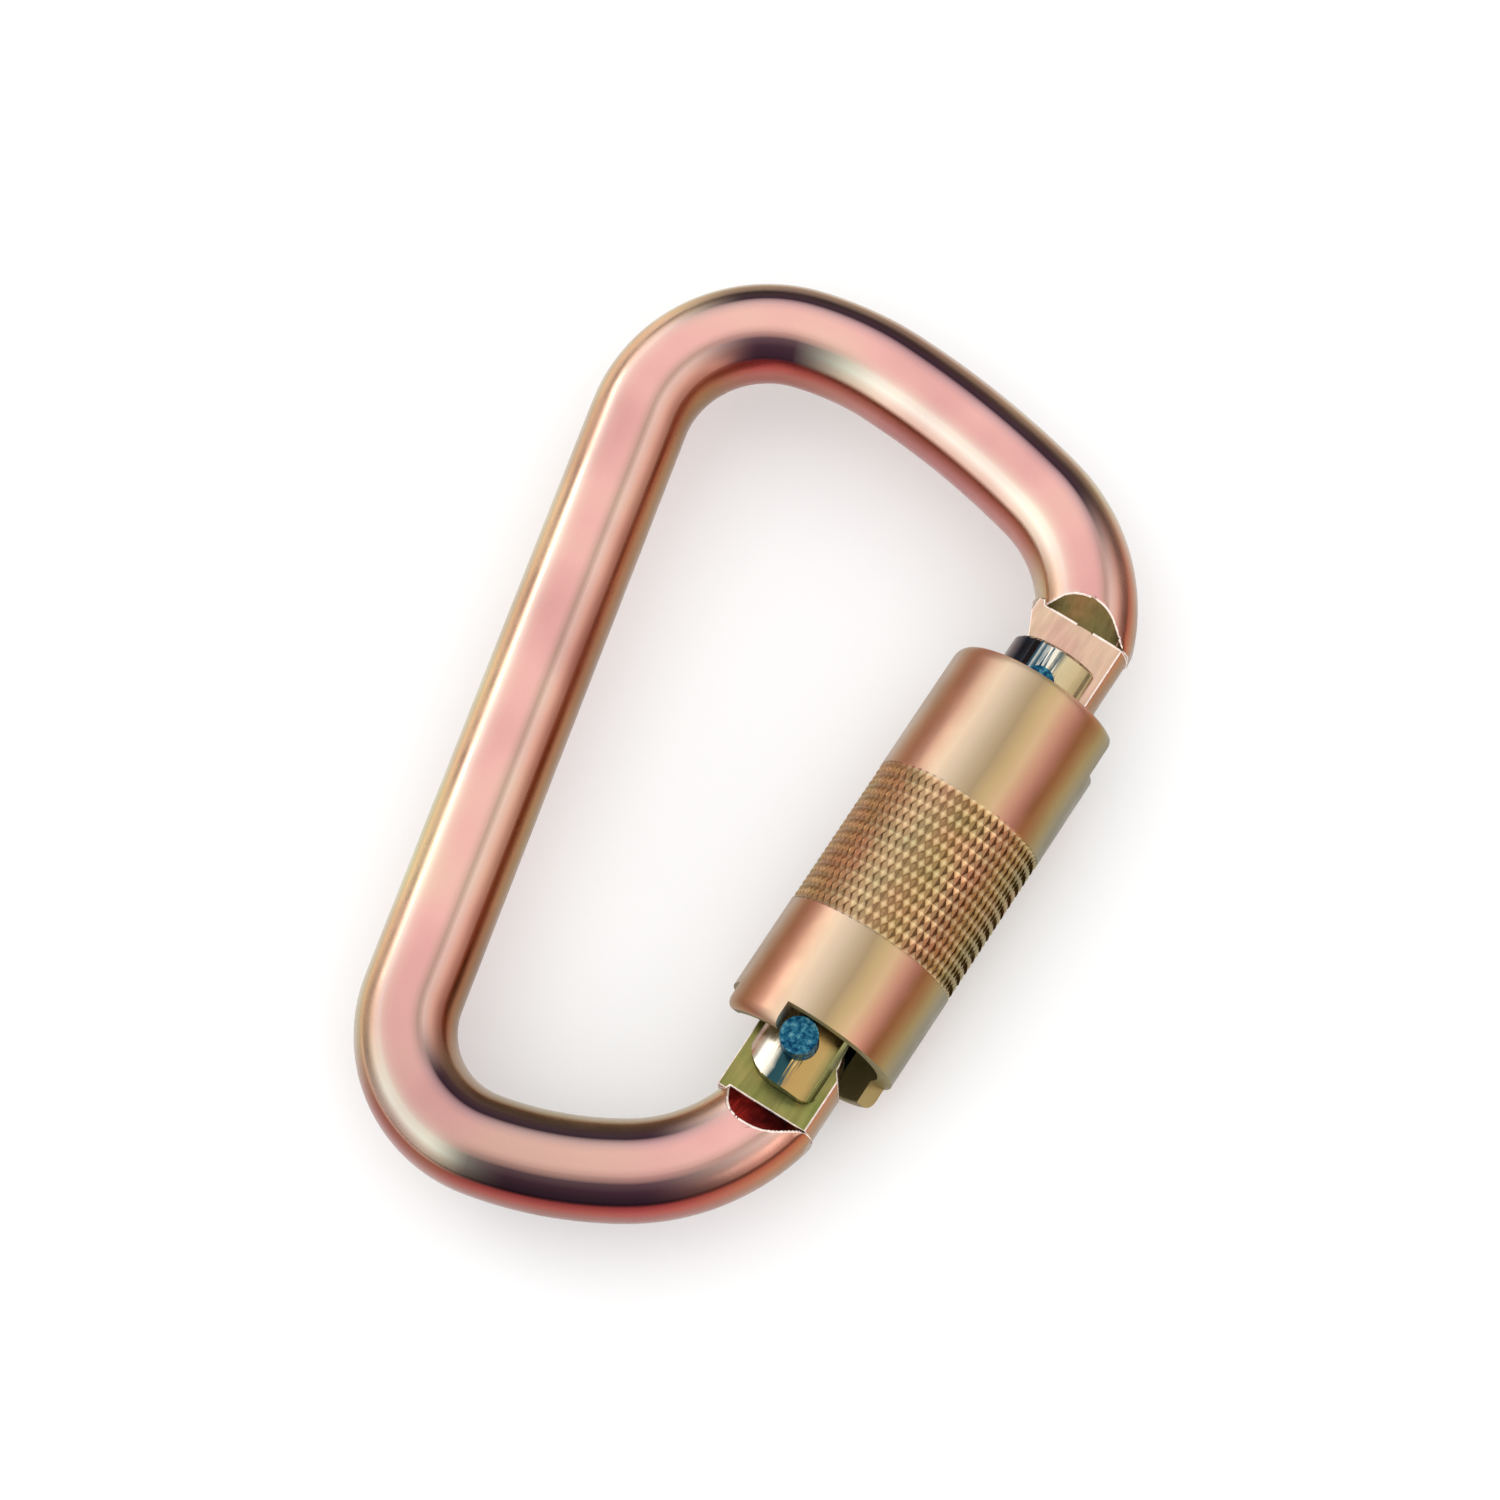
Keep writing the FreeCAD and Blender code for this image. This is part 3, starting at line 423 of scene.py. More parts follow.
# %% [markdown]
# ## The knurled sleeve
# The sleeve is a turned tube with a band of diamond knurling rolled into its middle. One
# square of the knurl holds two crossing grooves with a raised point between them. It is
# made from a plane, cut in four and pulled into shape, and two arrays repeat it: one round
# the tube by a turned object offset, one along it. Real diamonds, rather than a bump,
# catch the light on each facet and break up the band's edge.

# %% One diamond, arrayed into a band
SLEEVE = 9.9                # the sleeve's radius
KNURL_LOW = 13.4            # the band's two ends, above the hinge
KNURL_HIGH = 30.7
KNURL_DEPTH = 0.30
AROUND = 64                 # diamonds round the sleeve
ROWS = 12
cell_height = (KNURL_HIGH - KNURL_LOW) / ROWS


def knurl_band():
    """A ring of raised diamonds about the gate's axis."""
    bpy.ops.object.select_all(action="DESELECT")
    bpy.ops.mesh.primitive_plane_add(size=1, location=(0, 0, 0))
    band = name_last("lock_sleeve_finish")
    edit(band, "FACE")
    bpy.ops.mesh.select_all(action="SELECT")
    bpy.ops.mesh.poke()
    pick(band, lambda co: max(abs(co.x), abs(co.y)) > 0.4, "edges")
    bpy.ops.mesh.subdivide(number_cuts=1)
    done()
    for vertex in band.data.vertices:
        across, along = vertex.co.x, vertex.co.y
        crest = (abs(across) < 0.1) != (abs(along) < 0.1)
        radius = (SLEEVE if crest else SLEEVE - KNURL_DEPTH) * MM
        turn = across * math.tau / AROUND
        height = KNURL_LOW + (along + 0.5) * cell_height
        vertex.co = at(0, height) + Vector((math.sin(turn), 0, math.cos(turn))) * radius
    bpy.ops.object.empty_add(location=at(0, 0))
    pivot = bpy.context.view_layer.objects.active
    band.data.transform(Matrix.Translation(-at(0, 0)))
    band.location = at(0, 0)
    pivot.rotation_euler = (0, math.tau / AROUND, 0)
    ring = band.modifiers.new("Round the tube", "ARRAY")
    ring.count = AROUND
    ring.use_relative_offset = False
    ring.use_object_offset = True
    ring.offset_object = pivot
    stack = band.modifiers.new("Along the tube", "ARRAY")
    stack.count = ROWS
    stack.use_relative_offset = False
    stack.use_constant_offset = True
    stack.constant_offset_displace = (0, cell_height * MM, 0)
    apply_all(band)
    bpy.data.objects.remove(pivot)
    settle(band)
    edit(band)
    bpy.ops.mesh.select_all(action="SELECT")
    bpy.ops.mesh.remove_doubles(threshold=2e-6)
    done()
    return band


sleeve = knurl_band()
print("knurl band", len(sleeve.data.polygons), "facets")

# %% [markdown]
# The plain ends of the sleeve are turned from the band's own open edges. The walls outside
# and inside are drawn ring by ring: each ring is extruded from the last one and drawn in or
# out to its radius, as a lathe tool would follow the profile, and the two last rings inside
# are bridged. Both rims are rolled over with a few rings of an ellipse.

# %% Turn the plain walls
def rolled(end, reach, inward, steps, side):
    """Radius and height of the rings that roll the outer wall over into a rim."""
    turns = [math.pi / 2 * k / steps for k in range(steps + 1)]
    return [(SLEEVE - inward * (1 - math.cos(a)), end - side * reach * (1 - math.sin(a)))
            for a in turns]


def turn_walls(sleeve, height, walls):
    """Extrude the open edge at a height through rings of radius and height."""
    start = at(0, height).y
    pick(sleeve, lambda co: abs(co.y - start) < 1e-6, "edges")
    for radius, level in walls:
        bpy.ops.mesh.extrude_region_move(
            TRANSFORM_OT_translate={"value": (0, (level - height) * MM, 0)})
        done()
        axis = at(0, level)
        for vertex in sleeve.data.vertices:
            if vertex.select:
                away = vertex.co - axis
                away.y = 0
                vertex.co = axis + away.normalized() * radius * MM
        bpy.ops.object.mode_set(mode="EDIT")
        height = level
    done()


NOSE_RIM, HINGE_RIM = 46.5, -0.6          # the sleeve's two ends
RING_LOW, RING_HIGH = 38.0, 41.2          # the room for the retaining ring
COLLAR_LOW, COLLAR_HIGH = 5.0, 8.0        # the collar that runs on the gate
MOUTH, RING_ROOM, CHAMBER, SKIRT, RUNNER = 8.9, 8.3, 7.6, 8.15, 5.6   # bores' radii
nose_walls = [(SLEEVE, KNURL_HIGH + 0.3), (SLEEVE, KNURL_HIGH + 3)]
nose_walls += rolled(NOSE_RIM, 1.3, 0.75, 6, 1)
nose_walls += [(MOUTH + 0.05, NOSE_RIM - 0.02), (MOUTH, NOSE_RIM - 0.2), (MOUTH, RING_HIGH),
               (RING_ROOM, RING_HIGH), (RING_ROOM, RING_LOW), (CHAMBER, RING_LOW),
               (CHAMBER, COLLAR_HIGH)]
hinge_walls = [(SLEEVE, KNURL_LOW - 0.3), (SLEEVE, KNURL_LOW - 3)]
hinge_walls += rolled(HINGE_RIM, 1.2, 0.9, 6, -1)
hinge_walls += [(SKIRT + 0.1, HINGE_RIM + 0.02), (SKIRT, HINGE_RIM + 0.15),
                (SKIRT, COLLAR_LOW), (RUNNER, COLLAR_LOW), (RUNNER, COLLAR_HIGH)]
turn_walls(sleeve, KNURL_HIGH, nose_walls)
turn_walls(sleeve, KNURL_LOW, hinge_walls)
collar = at(0, COLLAR_HIGH).y
pick(sleeve, lambda co: abs(co.y - collar) < 1e-6, "edges")
bpy.ops.mesh.bridge_edge_loops()
bpy.ops.mesh.select_all(action="SELECT")
bpy.ops.mesh.normals_make_consistent(inside=False)
done()
print("turned sleeve", len(sleeve.data.polygons), "faces")

# %% [markdown]
# Two cut-outs at the hinge end leave two tabs that straddle the hinge, and one wide passage
# at the nose end lets the nose out once the sleeve is twisted. Each is cut with a wedge
# traced across the tube, and the new edges are then beveled in edit mode, because a bevel
# modifier by angle would catch every diamond too.

# %% Cut the cut-outs and the passage
WEDGE_INNER, WEDGE_OUTER, WEDGE_STEPS = 6.2, 24, 24
# each cut's first and last angle in degrees, and its lowest and highest height
CUTS = ((-26, 106, -10, 2.2), (154, 286, -10, 2.2), (-118, 12, 41.7, 60))


def wedge(name, start, end, low, high):
    """A wedge about the gate's axis between two angles and two heights."""
    inner = arc(WEDGE_INNER, end, start, WEDGE_STEPS)
    outer = arc(WEDGE_OUTER, start, end, WEDGE_STEPS)
    return trace(name, outer + inner, low, high, place=lambda x, z, y: at(x, y, z))


for start, end, low, high in CUTS:
    combine(sleeve, wedge("cutter", start, end, low, high), "DIFFERENCE")


OUTER_WALL = 8.5            # everything further out than this is the sleeve's outside


def on_cut(co):
    """True for a point of the outer wall that lies on one of the cuts' faces."""
    x, y, z = (co - HINGE) / MM
    if math.hypot(x, z) < OUTER_WALL:
        return False
    angle = math.degrees(math.atan2(z, x))
    for start, end, low, high in CUTS:
        inside = low - 0.01 < y < high + 0.01
        turn = (angle - start + 0.05) % 360
        if inside and turn < end - start + 0.1:
            if min(turn - 0.05, end - start + 0.05 - turn) < 0.02:
                return True
            if min(abs(y - low), abs(y - high)) < 0.01:
                return True
    return False


pick(sleeve, on_cut, "edges")
bpy.ops.mesh.bevel(offset=0.35 * MM, segments=3, affect="EDGES", clamp_overlap=True)
done()
edit(sleeve)
bpy.ops.mesh.select_all(action="SELECT")
bpy.ops.mesh.normals_make_consistent(inside=False)
done()
soften(sleeve, 22)
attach(sleeve, "sleeve")
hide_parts("lock_sleeve")
print("finished sleeve", len(sleeve.data.polygons), "faces")

# %% [markdown]
# ## The small steel parts
# The gate rod, the rivets, the ring, the plunger and the springs keep the CAD model's shapes.
# A model's surface comes as loose triangles, which would shade as flat facets. So each one is
# copied, its doubles are merged, and the copy is shaded smooth, with normals weighted by
# area so that flat faces stay flat. The outer corner of the gate's ears is rounded further
# than on the model, with a cutter traced round it.

# %% Smooth copies of the small parts
def fine_copy(node, body):
    """A merged and smoothly shaded copy of a model node, which stands in for it."""
    only(frame["nodes"][node])
    bpy.ops.object.duplicate()
    copy = name_last(node + "_finish")
    copy.data = copy.data.copy()
    for modifier in list(copy.modifiers):
        copy.modifiers.remove(modifier)
    edit(copy)
    bpy.ops.mesh.select_all(action="SELECT")
    bpy.ops.mesh.remove_doubles(threshold=1e-6)
    bpy.ops.mesh.dissolve_limited(angle_limit=math.radians(0.6))
    done()
    soften(copy, 32)
    even = copy.modifiers.new("Even shading", "WEIGHTED_NORMAL")
    even.keep_sharp = True
    apply_all(copy)
    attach(copy, body)
    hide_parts(node)
    return copy


EAR_CORNER = 1.6            # radius of the ears' outer corner
CORNER_X, CORNER_Y = 2.85, -3.5          # its centre
OFF = (5.6, -6.0)           # a point clear of the ears, where the cutter's own corner is
gate = fine_copy("gate", "gate")
corner = [(CORNER_X, OFF[1]), OFF, (OFF[0], CORNER_Y)]
corner += arc(EAR_CORNER, 0, -90, 10, (CORNER_X, CORNER_Y))
combine(gate, trace("ear_corner", corner, -6, 6), "DIFFERENCE")
soften(gate, 32)
hinge_rivet = fine_copy("hinge_rivet", "gate")
latch_rivet = fine_copy("latch_rivet", "gate")
ring = fine_copy("retaining_ring", "gate")
plunger = fine_copy("closing_plunger", "plunger")
closing = fine_copy("closing_spring", "gate")
torsion = fine_copy("torsion_spring", "gate")
print("copies", [piece.name for piece in (gate, hinge_rivet, latch_rivet, ring)])

# %% [markdown]
# ## Plating that turns colour
# The frame and the sleeve wear yellow zinc plating, whose thin film shifts from pink to gold,
# green, brown and blue as it thins round the steel. The film is thickest on the pressed
# flats and thins towards the sides, so the colour is read from the direction that the
# surface faces, with slow noise to stop the bands from being perfect. The bands read this
# way also carry painted reflections and painted highlights: near-black lines and pale cream
# bands where the surroundings and the lamps would be reflected. A thin-film value on the
# shader could do the same, but an exported model would lose it.

# %% Node helpers
def new_finish(name, metallic=1.0, roughness=0.3):
    """A new material: its node tree and its shader."""
    material = bpy.data.materials.new(name)
    material.use_nodes = True
    shader = material.node_tree.nodes["Principled BSDF"]
    shader.inputs["Metallic"].default_value = metallic
    shader.inputs["Roughness"].default_value = roughness
    return material, material.node_tree, shader


def add(tree, kind, **settings):
    """A new node of this kind."""
    node = tree.nodes.new("ShaderNode" + kind)
    for key, value in settings.items():
        setattr(node, key, value)
    return node


def feed(tree, node, *values):
    """Give a node's inputs, in order, a number, a colour or another node's output."""
    for socket, value in zip(node.inputs, values):
        if isinstance(value, bpy.types.NodeSocket):
            tree.links.new(value, socket)
        elif value is not None:
            socket.default_value = value
    return node.outputs[0]


def calc(tree, operation, *values, clamp=False):
    """A maths node."""
    return feed(tree, add(tree, "Math", operation=operation, use_clamp=clamp), *values)


def ramp(tree, factor, stops):
    """A colour ramp through pairs of place and colour."""
    node = add(tree, "ValToRGB")
    elements = node.color_ramp.elements
    elements[0].position, elements[0].color = stops[0][0], (*stops[0][1], 1)
    elements[1].position, elements[1].color = stops[-1][0], (*stops[-1][1], 1)
    for place, colour in stops[1:-1]:
        elements.new(place).color = (*colour, 1)
    tree.links.new(factor, node.inputs[0])
    return node.outputs[0]


def blend_colour(tree, factor, first, second, kind="MIX"):
    """Two colours mixed by a factor."""
    node = add(tree, "Mix", data_type="RGBA", blend_type=kind)
    for socket, value in ((node.inputs[0], factor), (node.inputs[6], first),
                          (node.inputs[7], second)):
        if isinstance(value, bpy.types.NodeSocket):
            tree.links.new(value, socket)
        else:
            socket.default_value = (*value, 1) if isinstance(value, tuple) else value
    return node.outputs[2]


def noise(tree, size, detail=2.0, stretch=(1, 1, 1)):
    """Noise whose blotches are about this many millimetres across."""
    place = add(tree, "TexCoord").outputs["Object"]
    mapping = add(tree, "Mapping")
    tree.links.new(place, mapping.inputs["Vector"])
    mapping.inputs["Scale"].default_value = stretch
    node = add(tree, "TexNoise")
    tree.links.new(mapping.outputs[0], node.inputs["Vector"])
    node.inputs["Scale"].default_value = 1000 / size
    node.inputs["Detail"].default_value = detail
    return node.outputs["Fac"]


def grain(tree, shader, sizes, strength):
    """Bump from noises of several sizes, at a strength."""
    height = calc(tree, "MULTIPLY", noise(tree, sizes[0], 3), 1.0)
    for size in sizes[1:]:
        height = calc(tree, "ADD", height, noise(tree, size, 3))
    bump = add(tree, "Bump")
    bump.inputs["Strength"].default_value = strength
    bump.inputs["Distance"].default_value = 0.05 * MM
    tree.links.new(height, bump.inputs["Height"])
    tree.links.new(bump.outputs[0], shader.inputs["Normal"])


def facing(tree):
    """The surface's own direction, as three numbers."""
    split = add(tree, "SeparateXYZ")
    tree.links.new(add(tree, "TexCoord").outputs["Normal"], split.inputs[0])
    return split.outputs


def add_object_y(tree):
    """The place along the carabiner, in metres."""
    split = add(tree, "SeparateXYZ")
    tree.links.new(add(tree, "TexCoord").outputs["Object"], split.inputs[0])
    return split.outputs["Y"]


def uneven(tree, low, high, size, detail=3):
    """A number that wanders between two values, for roughness."""
    spread = add(tree, "MapRange")
    return feed(tree, spread, noise(tree, size, detail), 0.3, 0.7, low, high)


print("node helpers ready")

# %% [markdown]
# The bands aren't the same all round the frame. Each way that a side can face gets the
# film's colours together with painted light: a painted near-black reflection line on the
# outer sides of the arms and bows, and painted cream highlights along the outer spine and
# the arms' inner side. So five ramps run from the bar's side to its flat, one for each way
# that a side can face, and the surface's own heading picks between them. They all end in
# the same pink on the flats.

# %% Frame plating
frame_plating, tree, shader = new_finish("frame_plating")
FLAT_PINK = (0.72, 0.39, 0.35)
LEVELS = (0.0, 0.26, 0.42, 0.57, 0.71, 0.87, 0.965, 0.992, 1.0)
# Each side's ramp holds the film's colours plus painted reflections (the near-black stops) and
# painted highlights (the pale cream stops).
SIDE_FILMS_AND_REFLECTIONS = {
    "spine_outer": ((0.50, 0.42, 0.30), (0.52, 0.44, 0.30), (0.54, 0.45, 0.30),
                    (0.56, 0.40, 0.22), (0.74, 0.45, 0.24), (0.88, 0.57, 0.41),
                    (0.80, 0.58, 0.50), (0.74, 0.44, 0.38)),
    "arm_inner": ((0.50, 0.22, 0.20), (0.50, 0.21, 0.19), (0.40, 0.14, 0.11),
                  (0.34, 0.10, 0.06), (0.86, 0.52, 0.40), (0.92, 0.84, 0.72),
                  (0.84, 0.72, 0.60), (0.75, 0.49, 0.42)),
    "bow_outer": ((0.38, 0.12, 0.10), (0.43, 0.14, 0.12), (0.46, 0.09, 0.08),
                  (0.30, 0.04, 0.04), (0.03, 0.012, 0.02), (0.05, 0.02, 0.03),
                  (0.10, 0.05, 0.06), (0.42, 0.21, 0.19)),
    "spine_inner": ((0.30, 0.18, 0.10), (0.33, 0.19, 0.09), (0.42, 0.19, 0.09),
                    (0.40, 0.11, 0.05), (0.30, 0.09, 0.05), (0.62, 0.33, 0.25),
                    (0.66, 0.44, 0.37), (0.44, 0.28, 0.22)),
    "arm_outer": ((0.55, 0.42, 0.32), (0.52, 0.40, 0.30), (0.46, 0.34, 0.24),
                  (0.42, 0.29, 0.19), (0.32, 0.18, 0.10), (0.07, 0.035, 0.035),
                  (0.04, 0.02, 0.03), (0.50, 0.29, 0.29)),
}
split = facing(tree)
flat = calc(tree, "ABSOLUTE", split["Z"])
drift = calc(tree, "MULTIPLY", calc(tree, "SUBTRACT", noise(tree, 22, 2), 0.5), 0.10)
edge_on = calc(tree, "SUBTRACT", 1.0, flat)
drift = calc(tree, "MULTIPLY", drift, calc(tree, "MULTIPLY", edge_on, 6.0, clamp=True))
level = calc(tree, "ADD", flat, drift, clamp=True)
heading = calc(tree, "DIVIDE", calc(tree, "ARCTAN2", split["Y"], split["X"]), math.tau)


def side_ramp(name):
    """The ramp of one side, from the bar's edge to its flat, painted reflections and highlights
    included.
    """
    return ramp(tree, level, list(zip(LEVELS, SIDE_FILMS_AND_REFLECTIONS[name] + (FLAT_PINK,))))


def turn_to(colour, name, begin, end):
    """Blend over to the next side's ramp as the heading passes from begin to end."""
    spread = add(tree, "MapRange", interpolation_type="SMOOTHSTEP")
    factor = feed(tree, spread, heading, begin, end, 0.0, 1.0)
    return blend_colour(tree, factor, colour, side_ramp(name))


bands = side_ramp("spine_outer")
bands = turn_to(bands, "arm_inner", -0.42, -0.32)
bands = turn_to(bands, "bow_outer", -0.27, -0.20)
bands = turn_to(bands, "spine_inner", -0.15, -0.02)
bands = turn_to(bands, "arm_outer", 0.08, 0.19)
bands = turn_to(bands, "spine_outer", 0.36, 0.47)
blush = ramp(tree, noise(tree, 17, 2), [
    (0.34, (0.86, 0.80, 0.82)), (0.5, (1.0, 1.0, 1.0)), (0.66, (1.0, 1.12, 1.02))])
tint = blend_colour(tree, 1.0, bands, blush, "MULTIPLY")
low_bow = feed(tree, add(tree, "MapRange"), add_object_y(tree), -0.050, -0.034, 0.72, 1.0)
darker = add(tree, "CombineColor")
for socket in darker.inputs:
    tree.links.new(low_bow, socket)
tint = blend_colour(tree, 1.0, tint, darker.outputs[0], "MULTIPLY")
tree.links.new(tint, shader.inputs["Base Color"])
tree.links.new(uneven(tree, 0.20, 0.32, 5), shader.inputs["Roughness"])
grain(tree, shader, (0.35, 0.9, 6), 0.12)
print("frame plating has", len(SIDE_FILMS_AND_REFLECTIONS), "ramps")

# %% [markdown]
# ## Milled faces
# The tangs were milled before plating, so their faces are flatter and brushed, and the film
# on them took other colours: olive at the hinge, beige at the nose, and deep red on the
# half-moon slope below the hinge. The broken edges get a painted highlight, a near-white
# finish where light would catch them.

# %% Milled finishes
def milled(name, first, second, roughness, brush=(1, 1, 1)):
    """Plating on a milled face, in two drifting colours with brush lines."""
    material, tree, shader = new_finish(name)
    colours = ramp(tree, noise(tree, 5, 3), [(0.35, first), (0.65, second)])
    lines = noise(tree, 0.6, 4, brush)
    shade = ramp(tree, lines, [(0.3, (0.72, 0.72, 0.72)), (0.7, (1.0, 1.0, 1.0))])
    tree.links.new(blend_colour(tree, 1.0, colours, shade, "MULTIPLY"),
                   shader.inputs["Base Color"])
    tree.links.new(uneven(tree, roughness - 0.06, roughness + 0.08, 1.5),
                   shader.inputs["Roughness"])
    grain(tree, shader, (0.2, 0.6), 0.18)
    return material


nose_face = milled("nose_face", (0.70, 0.50, 0.35), (0.68, 0.42, 0.32), 0.32, (1, 0.1, 1))
nose_slope = milled("nose_slope", (0.16, 0.13, 0.05), (0.26, 0.15, 0.06), 0.38, (1, 0.1, 1))
hinge_face = milled("hinge_face", (0.20, 0.23, 0.06), (0.31, 0.26, 0.09), 0.34, (1, 0.1, 1))
hinge_slope = milled("hinge_slope", (0.30, 0.02, 0.015), (0.12, 0.008, 0.01), 0.30, (1, 0.1, 1))
# A near-white painted highlight for the broken edges.
bright_edge = milled("bright_edge", (0.98, 0.84, 0.74), (0.94, 0.76, 0.68), 0.30)


def paint(piece, materials, choose):
    """Give a piece its materials; choose returns the number for a face."""
    piece.data.materials.clear()
    for material in materials:
        piece.data.materials.append(material)
    for face in piece.data.polygons:
        face.material_index = choose(face)


def frame_region(face):
    """0 plating with its painted sheen, 1 and 2 the nose's face and slope, 3 and 4 the hinge's,
    5 broken edges with a painted highlight.
    """
    if face.index in broken_edges:
        return 5
    x, y, z = (face.center - HINGE) / MM
    if x < -6.5 or x > 6.5 or abs(face.normal.x) > 0.3:
        return 0
    if NOSE_SHOULDER + 3.2 > y > 40 and abs(z) < 4.85:
        if abs(z) < TANG / 2 + 0.02 and abs(face.normal.z) > 0.9:
            return 1
        if face.normal.y < -0.3 and abs(z) > TANG / 2 - 0.05:
            return 2
    if HINGE_SHOULDER - 3.6 < y < 7 and abs(z) < 4.85:
        if abs(z) < TANG / 2 + 0.02 and abs(face.normal.z) > 0.9:
            return 3
        if face.normal.y > 0.3 and abs(z) > TANG / 2 - 0.05:
            return 4
    return 0


finishes = (frame_plating, nose_face, nose_slope, hinge_face, hinge_slope, bright_edge)
paint(bar, finishes, frame_region)
print("frame faces by finish", [sum(1 for face in bar.data.polygons
                                    if face.material_index == k) for k in range(6)])

# %% [markdown]
# ## Satin plating on the sleeve
# The sleeve was tumbled before plating, so the same film looks satin. Its colours run in
# bands along the tube: the film's own colours, with painted highlights and painted
# reflections among them. The bands follow the angle about the gate's axis, worked out from
# the place on the surface, since the diamonds' facets face every way. On the knurl a painted
# highlight brightens the crests and painted shade darkens the grooves. The bore got little
# current, so its film is a dull olive.

# %% Sleeve plating
sleeve_plating, tree, shader = new_finish("sleeve_plating")
place = add(tree, "TexCoord").outputs["Object"]
centred = add(tree, "Mapping")
tree.links.new(place, centred.inputs["Vector"])
centred.inputs["Location"].default_value = -HINGE
split = add(tree, "SeparateXYZ")
tree.links.new(centred.outputs[0], split.inputs[0])
x, y, z = split.outputs
angle = calc(tree, "DIVIDE", calc(tree, "ARCTAN2", calc(tree, "ABSOLUTE", z), x), math.pi)
drift = calc(tree, "MULTIPLY", calc(tree, "SUBTRACT", noise(tree, 16, 2), 0.5), 0.07)
around = calc(tree, "ADD", angle, drift, clamp=True)
# The ramp mixes the film's colours with painted highlights and painted reflections round the
# tube.
bands = ramp(tree, around, [
    (0.0, (0.16, 0.14, 0.08)), (0.061, (0.20, 0.17, 0.10)), (0.106, (0.27, 0.22, 0.12)),
    (0.150, (0.31, 0.22, 0.09)), (0.194, (0.31, 0.16, 0.06)), (0.239, (0.34, 0.13, 0.05)),
    (0.283, (0.43, 0.18, 0.12)), (0.328, (0.51, 0.26, 0.17)), (0.372, (0.56, 0.37, 0.21)),
    (0.417, (0.47, 0.33, 0.16)), (0.461, (0.35, 0.25, 0.14)), (0.506, (0.45, 0.34, 0.22)),
    (0.550, (0.59, 0.45, 0.32)), (0.594, (0.69, 0.52, 0.36)), (0.639, (0.59, 0.38, 0.26)),
    (0.683, (0.53, 0.27, 0.18)), (0.728, (0.51, 0.23, 0.13)), (0.772, (0.47, 0.24, 0.12)),
    (0.817, (0.44, 0.27, 0.16)), (0.861, (0.45, 0.33, 0.23)), (1.0, (0.30, 0.20, 0.12))])
radius = calc(tree, "SQRT", calc(tree, "ADD", calc(tree, "MULTIPLY", x, x),
                                 calc(tree, "MULTIPLY", z, z)))
crest = feed(tree, add(tree, "MapRange"), radius, (SLEEVE - KNURL_DEPTH) * MM, SLEEVE * MM,
             0.0, 1.0)
height_low = calc(tree, "GREATER_THAN", y, (KNURL_LOW - 0.1) * MM)
height_high = calc(tree, "LESS_THAN", y, (KNURL_HIGH + 0.1) * MM)
in_band = calc(tree, "MULTIPLY", height_low, height_high)
# Painted light on the knurl: a painted highlight on the crests and painted shade in the grooves.
crest_highlight_groove_shade = ramp(tree, crest, [(0.0, (0.26, 0.16, 0.07)), (0.35, (0.66, 0.47, 0.25)),
                            (1.0, (1.0, 0.90, 0.62))])
patches = ramp(tree, noise(tree, 4.5, 2), [
    (0.34, (0.62, 0.66, 0.40)), (0.5, (0.95, 0.80, 0.55)), (0.66, (1.0, 0.62, 0.50))])
knurled = blend_colour(tree, 0.55, bands, crest_highlight_groove_shade)
knurled = blend_colour(tree, 0.5, knurled, patches, "MULTIPLY")
colour = blend_colour(tree, in_band, bands, knurled)
tree.links.new(colour, shader.inputs["Base Color"])
tree.links.new(uneven(tree, 0.30, 0.42, 4), shader.inputs["Roughness"])
grain(tree, shader, (0.3, 0.8, 5), 0.14)
bore_film, tree, shader = new_finish("bore_film", metallic=0.25)
film = ramp(tree, noise(tree, 5, 3), [(0.35, (0.16, 0.13, 0.045)), (0.65, (0.25, 0.20, 0.08))])
tree.links.new(film, shader.inputs["Base Color"])
tree.links.new(uneven(tree, 0.45, 0.60, 2), shader.inputs["Roughness"])
grain(tree, shader, (0.3, 0.8), 0.2)


BORE_WALL = 9.0             # faces nearer the axis than this belong to the bore


def sleeve_region(face):
    """0 the outside, 1 the bore."""
    x, y, z = (face.center - HINGE) / MM
    return 1 if math.hypot(x, z) < BORE_WALL else 0


paint(sleeve, (sleeve_plating, bore_film), sleeve_region)
print("sleeve plated")

# %% [markdown]
# ## Steel of the gate, the rivets and the springs
# The gate rod is brighter, with only a breath of gold. Its bands run along the rod and are
# largely painted light: pale painted highlights, near-black painted reflections and dark
# painted shade at its edges, between bands of gold. They differ between the foot and the
# free end, so two ramps are blended by height. The rivet heads were heated and set in a
# press, which leaves them dull, grainy and blue-grey.
# Springs are plain drawn wire.

# %% Steel finishes
gate_steel, tree, shader = new_finish("gate_steel")
across = calc(tree, "MULTIPLY_ADD", facing(tree)["X"], 0.5, 0.5)
drift = calc(tree, "MULTIPLY", calc(tree, "SUBTRACT", noise(tree, 4, 3), 0.5), 0.14)
across = calc(tree, "ADD", across, drift, clamp=True)
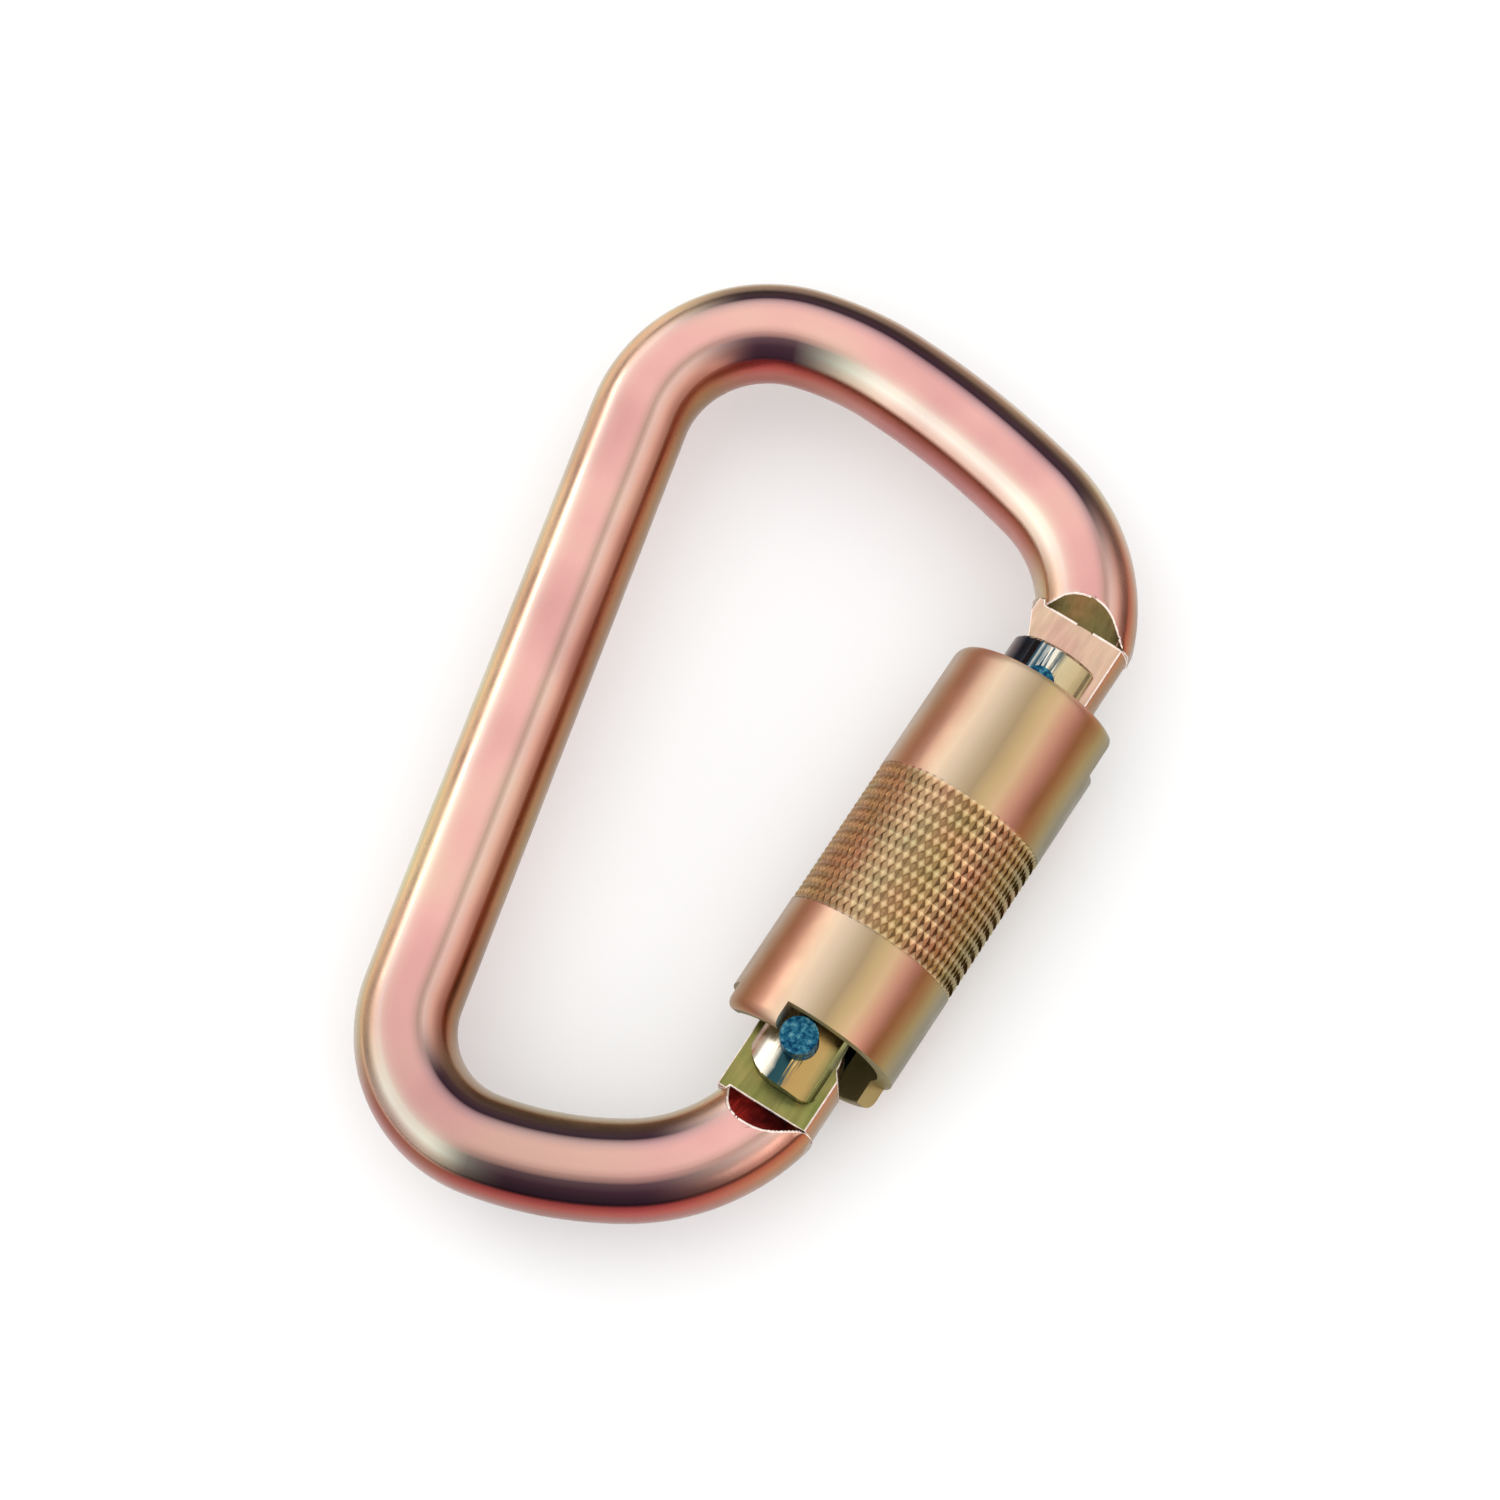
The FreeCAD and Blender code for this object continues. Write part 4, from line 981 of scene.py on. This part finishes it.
# Both ramps paint light onto the steel: pale stops are painted highlights, near-black stops
# painted reflections, the dark ends painted shade at the rod's edges.
free_end_sheen = ramp(tree, across, [
    (0.0, (0.16, 0.09, 0.07)), (0.16, (0.02, 0.04, 0.06)), (0.36, (0.04, 0.09, 0.12)),
    (0.44, (0.80, 0.76, 0.66)), (0.50, (0.72, 0.66, 0.54)), (0.54, (0.08, 0.11, 0.11)),
    (0.60, (0.55, 0.45, 0.27)), (0.80, (0.50, 0.38, 0.20)), (0.92, (0.30, 0.20, 0.10)),
    (1.0, (0.10, 0.06, 0.04))])
foot = ramp(tree, across, [
    (0.06, (0.16, 0.04, 0.03)), (0.15, (0.92, 0.82, 0.68)), (0.34, (0.95, 0.85, 0.68)),
    (0.42, (0.02, 0.06, 0.07)), (0.54, (0.02, 0.07, 0.08)), (0.61, (0.42, 0.26, 0.09)),
    (0.78, (0.42, 0.28, 0.10)), (0.88, (0.28, 0.27, 0.10)), (1.0, (0.04, 0.03, 0.02))])
along = feed(tree, add(tree, "MapRange"), add_object_y(tree), HINGE.y + 0.010,
             HINGE.y + 0.035, 0.0, 1.0)
tree.links.new(blend_colour(tree, along, foot, free_end_sheen), shader.inputs["Base Color"])
tree.links.new(uneven(tree, 0.16, 0.28, 2), shader.inputs["Roughness"])
grain(tree, shader, (0.25, 0.8), 0.08)
rivet_steel, tree, shader = new_finish("rivet_steel", roughness=0.46)
specks = ramp(tree, noise(tree, 0.45, 3), [
    (0.36, (0.004, 0.035, 0.08)), (0.50, (0.015, 0.10, 0.17)), (0.60, (0.04, 0.17, 0.24)),
    (0.70, (0.13, 0.28, 0.31))])
tree.links.new(specks, shader.inputs["Base Color"])
grain(tree, shader, (0.3, 0.8), 0.5)
spring_steel = milled("spring_steel", (0.34, 0.33, 0.32), (0.46, 0.45, 0.43), 0.30)
for piece, material in ((gate, gate_steel), (ring, gate_steel), (plunger, gate_steel),
                        (hinge_rivet, rivet_steel), (latch_rivet, rivet_steel),
                        (closing, spring_steel), (torsion, spring_steel)):
    paint(piece, (material,), lambda face: 0)
print("steel parts finished")

# %% [markdown]
# ## Stage, light and camera
# The carabiner lies on a white table. Plated steel looks like what it reflects, so the light
# is a broad soft ceiling, with a darker ring low round the table. That ring draws a dark
# line where the bar's round side begins, and the frame's ramps paint a darker line there
# too, as a painted reflection.

# %% Table
bpy.ops.object.select_all(action="DESELECT")
bpy.ops.mesh.primitive_plane_add(size=4, location=(0, 0, -0.00002))
table = name_last("table_top")
table_white, tree, shader = new_finish("table_white", metallic=0.0, roughness=0.7)
soft = ramp(tree, noise(tree, 120, 2), [(0.3, (0.86, 0.86, 0.86)), (0.7, (0.88, 0.88, 0.88))])
tree.links.new(soft, shader.inputs["Base Color"])
shader.inputs["Emission Color"].default_value = (1, 1, 1, 1)
shader.inputs["Emission Strength"].default_value = 0.12
paint(table, (table_white,), lambda face: 0)

# %% [markdown]
# The sky is a plain gradient, white overhead and grey at the horizon. Two weak square lamps
# at the sides add the long soft highlights.

# %% Soft studio light
world = bpy.data.worlds.new("studio")
bpy.context.scene.world = world
world.use_nodes = True
sky = world.node_tree
height = add(sky, "SeparateXYZ")
sky.links.new(add(sky, "TexCoord").outputs["Generated"], height.inputs[0])
glow = ramp(sky, height.outputs["Z"], [
    (0.0, (0.16, 0.16, 0.17)), (0.10, (0.22, 0.22, 0.23)), (0.32, (0.80, 0.80, 0.80)),
    (0.5, (1.0, 1.0, 1.0)), (1.0, (1.0, 1.0, 1.0))])
sky.links.new(glow, sky.nodes["Background"].inputs["Color"])
sky.nodes["Background"].inputs["Strength"].default_value = 1.25


def softbox(name, place, size, power):
    """A square area light that looks at the carabiner."""
    bpy.ops.object.light_add(type="AREA", location=place)
    lamp = bpy.context.view_layer.objects.active
    lamp.name = name
    lamp.data.size = size
    lamp.data.energy = power
    lamp.rotation_euler = (-Vector(place)).to_track_quat("-Z", "Y").to_euler()


softbox("left_box", (-0.9, 0.1, 0.45), 0.3, 0.6)
softbox("right_box", (0.8, -0.3, 0.5), 0.3, 0.5)

# %% [markdown]
# The camera looks down on the carabiner from far off with a long lens. Its three axes are
# written out, because the picture is also rolled a little, which aiming at a point wouldn't
# give.

# %% Camera
bpy.ops.object.camera_add(location=Vector((92.848, -106.175, 470.155)) * MM)
camera = bpy.context.view_layer.objects.active
camera.name = "camera"
camera.data.lens = 107.57
camera.data.sensor_width = 36
camera.data.clip_start = 0.01
right = Vector((0.83640197, 0.5469763, -0.03422118))
up = Vector((-0.51473753, 0.80547085, 0.29358305))
back = Vector((0.18814713, -0.22793852, 0.95532084))
camera.rotation_euler = Matrix((right, up, back)).transposed().to_euler()
bpy.context.scene.camera = camera
bpy.context.scene.view_settings.view_transform = "Standard"
print("camera at", tuple(camera.location))
